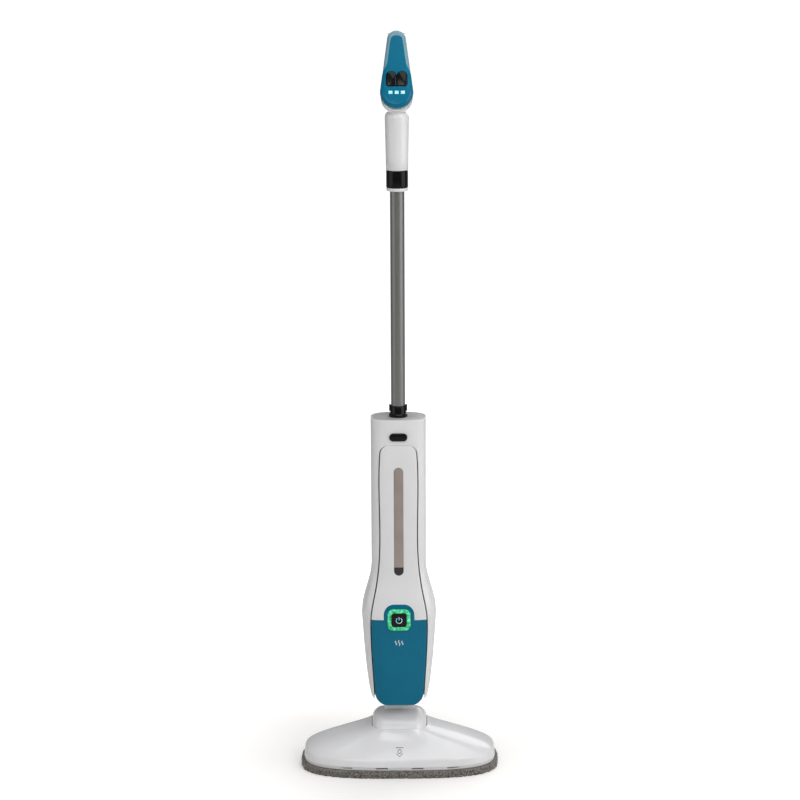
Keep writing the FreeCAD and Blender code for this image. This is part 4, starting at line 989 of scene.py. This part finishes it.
@dataclass
class Handle:
    """Pole fittings, stem, grip and control cover. Lengths are in millimetres.

    Attributes:
        stem_edge: sloped edge at the stem's foot.
        shoulder: height of the stem's rounded shoulder.
        shoulder_in: how far the shoulder narrows the stem.
        shoulder_steps: steps round the shoulder.
        lean: lean of the control face in degrees.
        face_front: front position of the control face's foot.
        face_rise: control face above the stem's top.
        bowl: radius of the control bowl.
        tip: radius of the control cover's tip.
        length: length of the control face.
        rim: rounding of the cover's edge.
        lift: how far the inlay stands out.
        rim_start: place up the face where the free rim begins.
        rim_full: place up the face where the free rim is full.
        rim_width: width of the free rim beside the tongue.
        tip_rim: further width of the free rim at the tip.
        tip_run: length over which that further width grows.
        edge_steps: steps round the inlay's edge.
        edge_draw: how far each of those steps draws the edge in.
        foot_in: how far the inlay's buried foot lies inside its edge.
        foot_down: how far that foot lies below its edge.
        key_gap: gap round the buttons and lights in the inlay.
        outline_points: points round the inlay.
    """

    stem_edge: float = 0.6
    shoulder: float = 9.0
    shoulder_in: float = 5.5
    shoulder_steps: int = 10

    lean: float = 24.4
    face_front: float = -26.0
    face_rise: float = 10.0
    bowl: float = 25.0
    tip: float = 14.5
    length: float = 123.0
    rim: float = 5.0
    lift: float = 0.35
    rim_start: float = 50.0
    rim_full: float = 72.0
    rim_width: float = 5.4
    tip_rim: float = 4.0
    tip_run: float = 22.0
    edge_steps: int = 7
    edge_draw: float = 0.12
    foot_in: float = 0.8
    foot_down: float = 1.2
    key_gap: float = 0.3
    outline_points: int = 256

    def build(self) -> None:
        """Build every piece of the handle."""
        for node in ("pole_end_ring", "handle_collar", "upper_cord_hook"):
            moulding(node, 0.4, 2)
        self.build_stem()
        moulding("grip_loop", 4.0, 4)
        # The cover's free rim takes the greyer teal, a painted reflection.
        moulding("control_cover", 0.4, 2, finish=PAINTED_REFLECTION_RIM_FINISH)
        self.build_inlay()
        for node in ("steam_up_button", "steam_down_button"):
            moulding(node, 2.0, 4)
        moulding("level_lights", 0.3, 2)
        moulding("pole_tube", 0.0)

    def build_stem(self) -> None:
        """Tapered stem with a sloped edge at its foot and a rounded shoulder at its top."""
        low, high = (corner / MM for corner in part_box("handle_stem"))
        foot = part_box("handle_collar")[1].x / MM
        profile = [(foot - self.stem_edge, low.z), (foot, low.z + self.stem_edge)]
        rise = high.z - self.shoulder - low.z
        straight = rise / (high.z - low.z)
        profile += [(foot + (high.x - foot) * straight * share, low.z + rise * share)
                    for share in (0.25, 0.5, 0.75, 1.0)]
        widest = profile[-1][0]
        for step in range(1, self.shoulder_steps + 1):
            turn = math.pi / 2 * step / self.shoulder_steps
            profile.append((widest - self.shoulder_in * (1 - math.cos(turn)),
                            high.z - self.shoulder * (1 - math.sin(turn))))

        def ring(level: float, angle: float) -> Vector:
            """Point of the stem at a step of its profile."""
            radius, height = profile[int(level)]
            return Vector((radius * math.cos(angle), radius * math.sin(angle), height))

        stem = skinned("stem_moulding", list(range(len(profile))), ring, 96)
        smooth(stem, 50)
        finish_piece(stem, Body.MAIN, Slot.WHITE_ABS, "handle_stem")

    def face_place(self, across: float, along: float, out: float) -> Vector:
        """Place on the leaning control face.

        Args:
            across: distance to the right of its middle line.
            along: distance up the face from its foot.
            out: distance in front of it.

        Returns:
            The place in millimetres.
        """
        lean = math.radians(self.lean)
        up = Vector((0, math.sin(lean), math.cos(lean)))
        outward = Vector((0, -math.cos(lean), math.sin(lean)))
        stem_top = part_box("handle_stem")[1].z / MM
        return Vector((across, self.face_front, stem_top + self.face_rise)) + up * along + outward * out

    def spoon(self) -> list[tuple[Vector, Vector]]:
        """Outline of the control cover, a bowl with a narrower tip.

        Returns:
            Points across and along the face, each with its outward direction.
        """
        bowl_y, tip_y = self.bowl, self.length - self.tip
        slope = math.asin((self.bowl - self.tip) / (tip_y - bowl_y))
        tip_turn = math.pi / 2 - slope
        lengths = [self.tip * 2 * tip_turn, (tip_y - bowl_y) * math.cos(slope),
                   self.bowl * 2 * (math.pi - tip_turn), (tip_y - bowl_y) * math.cos(slope)]
        total = sum(lengths)
        places = []
        for index in range(self.outline_points):
            run = total * index / self.outline_points
            part = 0
            while run > lengths[part]:
                run -= lengths[part]
                part += 1
            share = run / lengths[part]
            if part == 0:
                turn = -tip_turn + 2 * tip_turn * share
                centre, radius = Vector((0, tip_y)), self.tip
            elif part == 2:
                turn = tip_turn + 2 * (math.pi - tip_turn) * share
                centre, radius = Vector((0, bowl_y)), self.bowl
            else:
                turn = tip_turn if part == 1 else -tip_turn
                share = share if part == 1 else 1 - share
                centre = Vector((0, tip_y + (bowl_y - tip_y) * share))
                radius = self.tip + (self.bowl - self.tip) * share
            away = Vector((math.sin(turn), math.cos(turn)))
            places.append((centre + away * radius, away))
        return places

    def inlay_edge(self, along: float) -> float:
        """Width of the rim left free by the inlay.

        Args:
            along: distance up the face in millimetres.

        Returns:
            The width in millimetres.
        """
        share = min(max((along - self.rim_start) / (self.rim_full - self.rim_start), 0.0), 1.0)
        tip_share = min(max((along - self.length + self.tip_run) / self.tip_run, 0.0), 1.0)
        return self.rim_width * share * share * (3 - 2 * share) + self.tip_rim * tip_share ** 2

    def build_inlay(self) -> None:
        """Glossy inlay on the control face: all of the bowl, and the middle of the tongue."""
        places = self.spoon()

        def ring(level: float, angle: float) -> Vector:
            """Point of the inlay: its buried foot first, then its rounded edge up to its face."""
            point, away = places[round(angle / (2 * math.pi) * self.outline_points) % self.outline_points]
            edge = self.inlay_edge(point.y)
            first = math.acos(max(self.rim - edge, 0.0) / self.rim)
            step = max(level - 1, 0)
            turn = first + (math.pi / 2 - first) * step / self.edge_steps
            inset = self.rim - (self.rim + self.lift) * math.cos(turn)
            inset += max(edge - self.rim, 0.0) + step * self.edge_draw
            out = (self.rim + self.lift) * math.sin(turn) - self.rim
            if level == 0:
                inset, out = inset + self.foot_in, out - self.foot_down
            place = point - away * inset
            return self.face_place(place.x, place.y, out)

        inlay = skinned("control_inlay", list(range(self.edge_steps + 2)), ring, self.outline_points)
        for node in ("steam_up_button", "steam_down_button", "level_lights"):
            tool = node_copy(node, "pocket")
            self.grow(tool, self.key_gap)
            carve(inlay, tool)
        smooth(inlay, SMOOTH_ANGLE)
        finish_piece(inlay, Body.MAIN, Slot.TEAL_ABS)

    def grow(self, piece: bpy.types.Object, gap: float) -> None:
        """Push every face of a piece outwards.

        Args:
            piece: mesh object.
            gap: distance in millimetres.
        """
        edit(piece)
        bpy.ops.transform.shrink_fatten(value=gap * MM)
        leave_edit()


# ---------------------------------------------------------------- signs

@dataclass
class Marks:
    """Plain signs on buttons and covers: power, steam and steam outlet. Lengths are in millimetres.

    Attributes:
        line: line width of the power sign, and the width that every sign is flattened from.
        lift: how far the signs stand out.
        steam_line: line width of the steam sign.
        outlet_line: line width of the steam outlet's sign.
        power_radius: radius of the power sign's ring.
        power_opening: half opening of that ring in degrees.
        power_bar: lower end, middle and upper end of its bar, above the ring's centre.
        wave_height: height of the middle wave.
        wave_side: share of that height on the two waves beside it.
        wave_swing: swing of a wave to each side.
        wave_spacing: distance between waves.
        wave_place: share of the lower cover's height at the waves.
        outlet_half: half width of the outlet's bar.
        outlet_radius: radius of the outlet's ring.
        outlet_place: share of the shell's height at the outlet's sign.
        curve_steps: steps round a ring.
        wave_steps: steps along a wave.
    """

    line: float = 0.9
    lift: float = 0.15
    steam_line: float = 1.3
    outlet_line: float = 1.1
    power_radius: float = 4.6
    power_opening: float = 35.0
    power_bar: tuple[float, ...] = (0.4, 2.9, 5.4)
    wave_height: float = 9.0
    wave_side: float = 0.75
    wave_swing: float = 1.1
    wave_spacing: float = 5.0
    wave_place: float = 0.63
    outlet_half: float = 6.0
    outlet_radius: float = 2.6
    outlet_place: float = 0.4
    curve_steps: int = 24
    wave_steps: int = 16

    def build(self) -> None:
        """Draw every sign."""
        self.power_sign()
        self.steam_sign()
        self.outlet_sign()

    def stroke(self, points: Sequence[Vector], width: float, closed: bool = False) -> bpy.types.Object:
        """Thin rounded line through points, as a mesh.

        Args:
            points: places in millimetres.
            width: line width in millimetres.
            closed: whether the line returns to its start.

        Returns:
            The new mesh object.
        """
        curve = bpy.data.curves.new("stroke", "CURVE")
        curve.dimensions = "3D"
        spline = curve.splines.new("POLY")
        spline.points.add(len(points) - 1)
        for target, point in zip(spline.points, points):
            target.co = (*(point * MM), 1.0)
        spline.use_cyclic_u = closed
        curve.bevel_depth = width / 2 * MM
        curve.bevel_resolution = 3
        curve.use_fill_caps = True
        piece = bpy.data.objects.new("stroke", curve)
        bpy.context.scene.collection.objects.link(piece)
        alone(piece)
        bpy.ops.object.convert(target="MESH")
        return bpy.context.object

    def joined(self, name: str, strokes: Sequence[bpy.types.Object], flatten: float) -> bpy.types.Object:
        """Join strokes into one sign, pressed almost flat against its surface.

        Args:
            name: name of the sign.
            strokes: line meshes.
            flatten: front position of the surface in millimetres.

        Returns:
            The sign's mesh object.
        """
        deselect()
        for item in strokes:
            item.select_set(True)
        bpy.context.view_layer.objects.active = strokes[0]
        if len(strokes) > 1:
            bpy.ops.object.join()
        sign = bpy.context.object
        sign.name = name
        sign.data.name = name
        for vertex in sign.data.vertices:
            out = vertex.co.y / MM - flatten
            vertex.co.y = (flatten + out * 2 * self.lift / self.line) * MM
        smooth(sign, SMOOTH_ANGLE)
        return sign

    def power_sign(self) -> None:
        """Broken ring with an upright bar, on the power button, glowing pale blue as painted light."""
        low, high = (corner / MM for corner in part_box("power_button"))
        centre = Vector(((low.x + high.x) / 2, low.y, (low.z + high.z) / 2))
        opening, steps = math.radians(self.power_opening), self.curve_steps + 4
        turns = [opening + (2 * math.pi - 2 * opening) * step / steps for step in range(steps + 1)]
        arc = [centre + Vector((math.sin(turn), 0, math.cos(turn))) * self.power_radius for turn in turns]
        bar = [centre + Vector((0, 0, height)) for height in self.power_bar]
        strokes = [self.stroke(arc, self.line), self.stroke(bar, self.line)]
        sign = self.joined("power_sign", strokes, centre.y)
        # The sign takes the level lights' glowing finish with no lamp behind it: a painted glow.
        finish_piece(sign, Body.POWER_KEY, Slot.LEVEL_LIGHT)

    def steam_sign(self) -> None:
        """Three short waves of steam on the lower cover."""
        low, high = (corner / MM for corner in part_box("lower_cover"))
        middle = low.z + (high.z - low.z) * self.wave_place
        strokes = []
        for index in (-1, 0, 1):
            tall = self.wave_height * (1.0 if index == 0 else self.wave_side)
            points = []
            for step in range(self.wave_steps + 1):
                share = step / self.wave_steps
                x = index * self.wave_spacing + self.wave_swing * math.sin(2 * math.pi * share)
                points.append(Vector((x, 0, middle + (share - 0.5) * tall)))
            strokes.append(self.stroke(points, self.steam_line))
        sign = self.joined("steam_sign", strokes, 0)
        self.press_on(sign, "lower_cover_moulding", low.y)
        finish_piece(sign, Body.MAIN, Slot.WHITE_ABS)

    def outlet_sign(self) -> None:
        """Bar over a ring with a point below, on the front of the head."""
        low, high = (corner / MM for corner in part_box("head_shell"))
        middle = low.z + (high.z - low.z) * self.outlet_place
        half, radius = self.outlet_half, self.outlet_radius
        bar = [Vector((x, 0, middle + 6.5)) for x in (-half, 0, half)]
        turns = [2 * math.pi * step / self.curve_steps for step in range(self.curve_steps)]
        ring = [Vector((radius * math.sin(turn), 0, middle + 1.6 + radius * math.cos(turn)))
                for turn in turns]
        point = [Vector((-half * 0.8, 0, middle - 1.0)), Vector((0, 0, middle - 5.0)),
                 Vector((half * 0.8, 0, middle - 1.0))]
        strokes = [self.stroke(bar, self.outlet_line), self.stroke(ring, self.outlet_line, True),
                   self.stroke(point, self.outlet_line)]
        sign = self.joined("outlet_sign", strokes, 0)
        self.press_on(sign, "head_top_shell", low.y)
        finish_piece(sign, Body.HEAD, Slot.GREY_PP)

    def press_on(self, sign: bpy.types.Object, target: str, front: float) -> None:
        """Move a flat sign back onto the surface behind it.

        Args:
            sign: sign drawn round the plane through the axis.
            target: name of the object with the surface.
            front: a place in front of the surface, in millimetres.
        """
        surface = bpy.data.objects[target]
        for vertex in sign.data.vertices:
            start = Vector((vertex.co.x, (front - 20) * MM, vertex.co.z))
            hit, place, _, _ = surface.ray_cast(start, Vector((0, 1, 0)))
            if hit:
                vertex.co.y = place.y + vertex.co.y


# ---------------------------------------------------------------- studio

@dataclass
class Studio:
    """Pale floor, soft lights and the camera. Lengths are in millimetres.

    Attributes:
        camera_back: camera's distance in front of the axis.
        camera_height: camera's height.
        camera_tilt: how far the camera looks down, in degrees.
        camera_side: camera's distance to the right of the axis.
        camera_roll: camera's roll in degrees.
        lens: focal length.
        floor_size: side length of the floor.
        floor_glow: brightness the camera sees on the far floor.
        painted_shade_dip: how much of that is taken away at the axis, a painted shade round the mop's foot.
        painted_shade_reach: radius in which that painted shade is taken away.
    """

    camera_back: float = 3900.0
    camera_height: float = 1465.0
    camera_tilt: float = 12.56
    camera_side: float = 3.0
    camera_roll: float = -0.25
    lens: float = 115.2
    floor_size: float = 40000.0
    floor_glow: float = 0.9
    painted_shade_dip: float = 0.82
    painted_shade_reach: float = 700.0

    def build(self) -> None:
        """Build floor, lights, world and camera."""
        bpy.context.scene.view_settings.view_transform = "Standard"
        self.build_floor()
        self.build_world()
        for name, place, aim_height, size, watts in (
                ("key_light", (1500, -1900, 2100), 500, 1300, 21),
                ("right_wall", (2300, -900, 1100), 600, 2000, 16),
                ("left_wall", (-2300, -900, 1100), 500, 2000, 9),
                ("front_fill", (-700, -3300, 2600), 500, 1600, 22),
                ("top_light", (300, -300, 3000), 0, 2400, 34),
                ("back_light", (900, 2200, 1700), 500, 1500, 12)):
            self.area(name, Vector(place), Vector((0, 0, aim_height)), size, watts)
        self.build_camera()

    def build_floor(self) -> None:
        """Matt white floor that glows softly for the camera, less so round the mop's foot: a painted shade
        there, so that the mop's shadow shows.
        """
        deselect()
        bpy.ops.mesh.primitive_plane_add(size=self.floor_size * MM)
        floor = bpy.context.object
        floor.name = "studio_floor"
        material = bpy.data.materials.new("painted_white_floor")
        material.use_nodes = True
        tree = material.node_tree
        tree.nodes.clear()
        place = add_node(tree, "ShaderNodeTexCoord").outputs["Object"]
        grain = noise_field(tree, place, 3.0)
        paint = add_node(tree, "ShaderNodeBsdfPrincipled",
                         {"Base Color": linear("#e6e4e2"), "Roughness": 0.75},
                         {"Normal": relief(tree, grain, 0.05, 0.2)})
        path = add_node(tree, "ShaderNodeLightPath")
        # The glow is lowered round the mop's foot: painted shade on the floor.
        around = add_node(tree, "ShaderNodeMapping", {"Scale": (per_mm(self.painted_shade_reach),) * 3},
                          {"Vector": place})
        nearness = add_node(tree, "ShaderNodeTexGradient", {"gradient_type": "SPHERICAL"},
                            {"Vector": around.outputs["Vector"]})
        glow_less_painted_shade = add_node(tree, "ShaderNodeMath",
                          {"operation": "MULTIPLY_ADD", 1: -self.painted_shade_dip, 2: self.floor_glow},
                          {0: nearness.outputs["Fac"]})
        glow = add_node(tree, "ShaderNodeMath", {"operation": "MULTIPLY"},
                        {0: glow_less_painted_shade.outputs["Value"], 1: path.outputs["Is Camera Ray"]})
        lamp = add_node(tree, "ShaderNodeEmission", {"Color": linear("#ffffff")},
                        {"Strength": glow.outputs[0]})
        both = add_node(tree, "ShaderNodeAddShader", None, {0: paint.outputs["BSDF"], 1: lamp.outputs[0]})
        add_node(tree, "ShaderNodeOutputMaterial", links={"Surface": both.outputs["Shader"]})
        floor.data.materials.append(material)

    def build_world(self) -> None:
        """White surroundings that light softly and show plain white."""
        world = bpy.data.worlds.new("studio_world")
        bpy.context.scene.world = world
        world.use_nodes = True
        tree = world.node_tree
        tree.nodes.clear()
        seen = add_node(tree, "ShaderNodeBackground", {"Color": linear("#ffffff"), "Strength": 1.0})
        lighting = add_node(tree, "ShaderNodeBackground", {"Color": linear("#fbfcff"), "Strength": 0.2})
        path = add_node(tree, "ShaderNodeLightPath")
        mixed = add_node(tree, "ShaderNodeMixShader", None,
                         {0: path.outputs["Is Camera Ray"], 1: lighting.outputs["Background"],
                          2: seen.outputs["Background"]})
        add_node(tree, "ShaderNodeOutputWorld", None, {"Surface": mixed.outputs["Shader"]})

    def area(self, name: str, place: Vector, aim: Vector, size: float, watts: float) -> None:
        """Square soft light.

        Args:
            name: light name.
            place: position in millimetres.
            aim: point it faces, in millimetres.
            size: side length in millimetres.
            watts: power.
        """
        deselect()
        bpy.ops.object.light_add(type="AREA", location=place * MM)
        light = bpy.context.object
        light.name = name
        light.data.size = size * MM
        light.data.energy = watts
        light.rotation_euler = (aim - place).to_track_quat("-Z", "Y").to_euler()

    def build_camera(self) -> None:
        """Camera in front, looking slightly down."""
        deselect()
        place = Vector((self.camera_side, -self.camera_back, self.camera_height))
        bpy.ops.object.camera_add(location=place * MM)
        camera = bpy.context.object
        camera.name = "front_camera"
        camera.data.lens = self.lens
        tilt = Matrix.Rotation(math.radians(90 - self.camera_tilt), 4, "X")
        roll = Matrix.Rotation(math.radians(self.camera_roll), 4, "Z")
        camera.rotation_euler = (tilt @ roll).to_euler()
        bpy.context.scene.camera = camera


def dress_remaining_nodes() -> None:
    """Give each frame node that still shows its finish."""
    for name, item in frame["nodes"].items():
        if item.hide_render:
            continue
        _, slot = body_and_slot(name)
        item.data.materials.clear()
        item.data.materials.append(FINISHES[slot].material())
        LOG.info("%s: frame node in %s", name, slot.value)


def main() -> None:
    """Build the steam mop and its studio."""
    logging.basicConfig(level=logging.INFO, format="%(name)s %(message)s")
    for assembly in (MopHead(), Swivel(), MainBody(), Handle(), Marks()):
        LOG.info("building %s", type(assembly).__name__)
        assembly.build()
    dress_remaining_nodes()
    Studio().build()


if __name__ == "__main__":
    main()
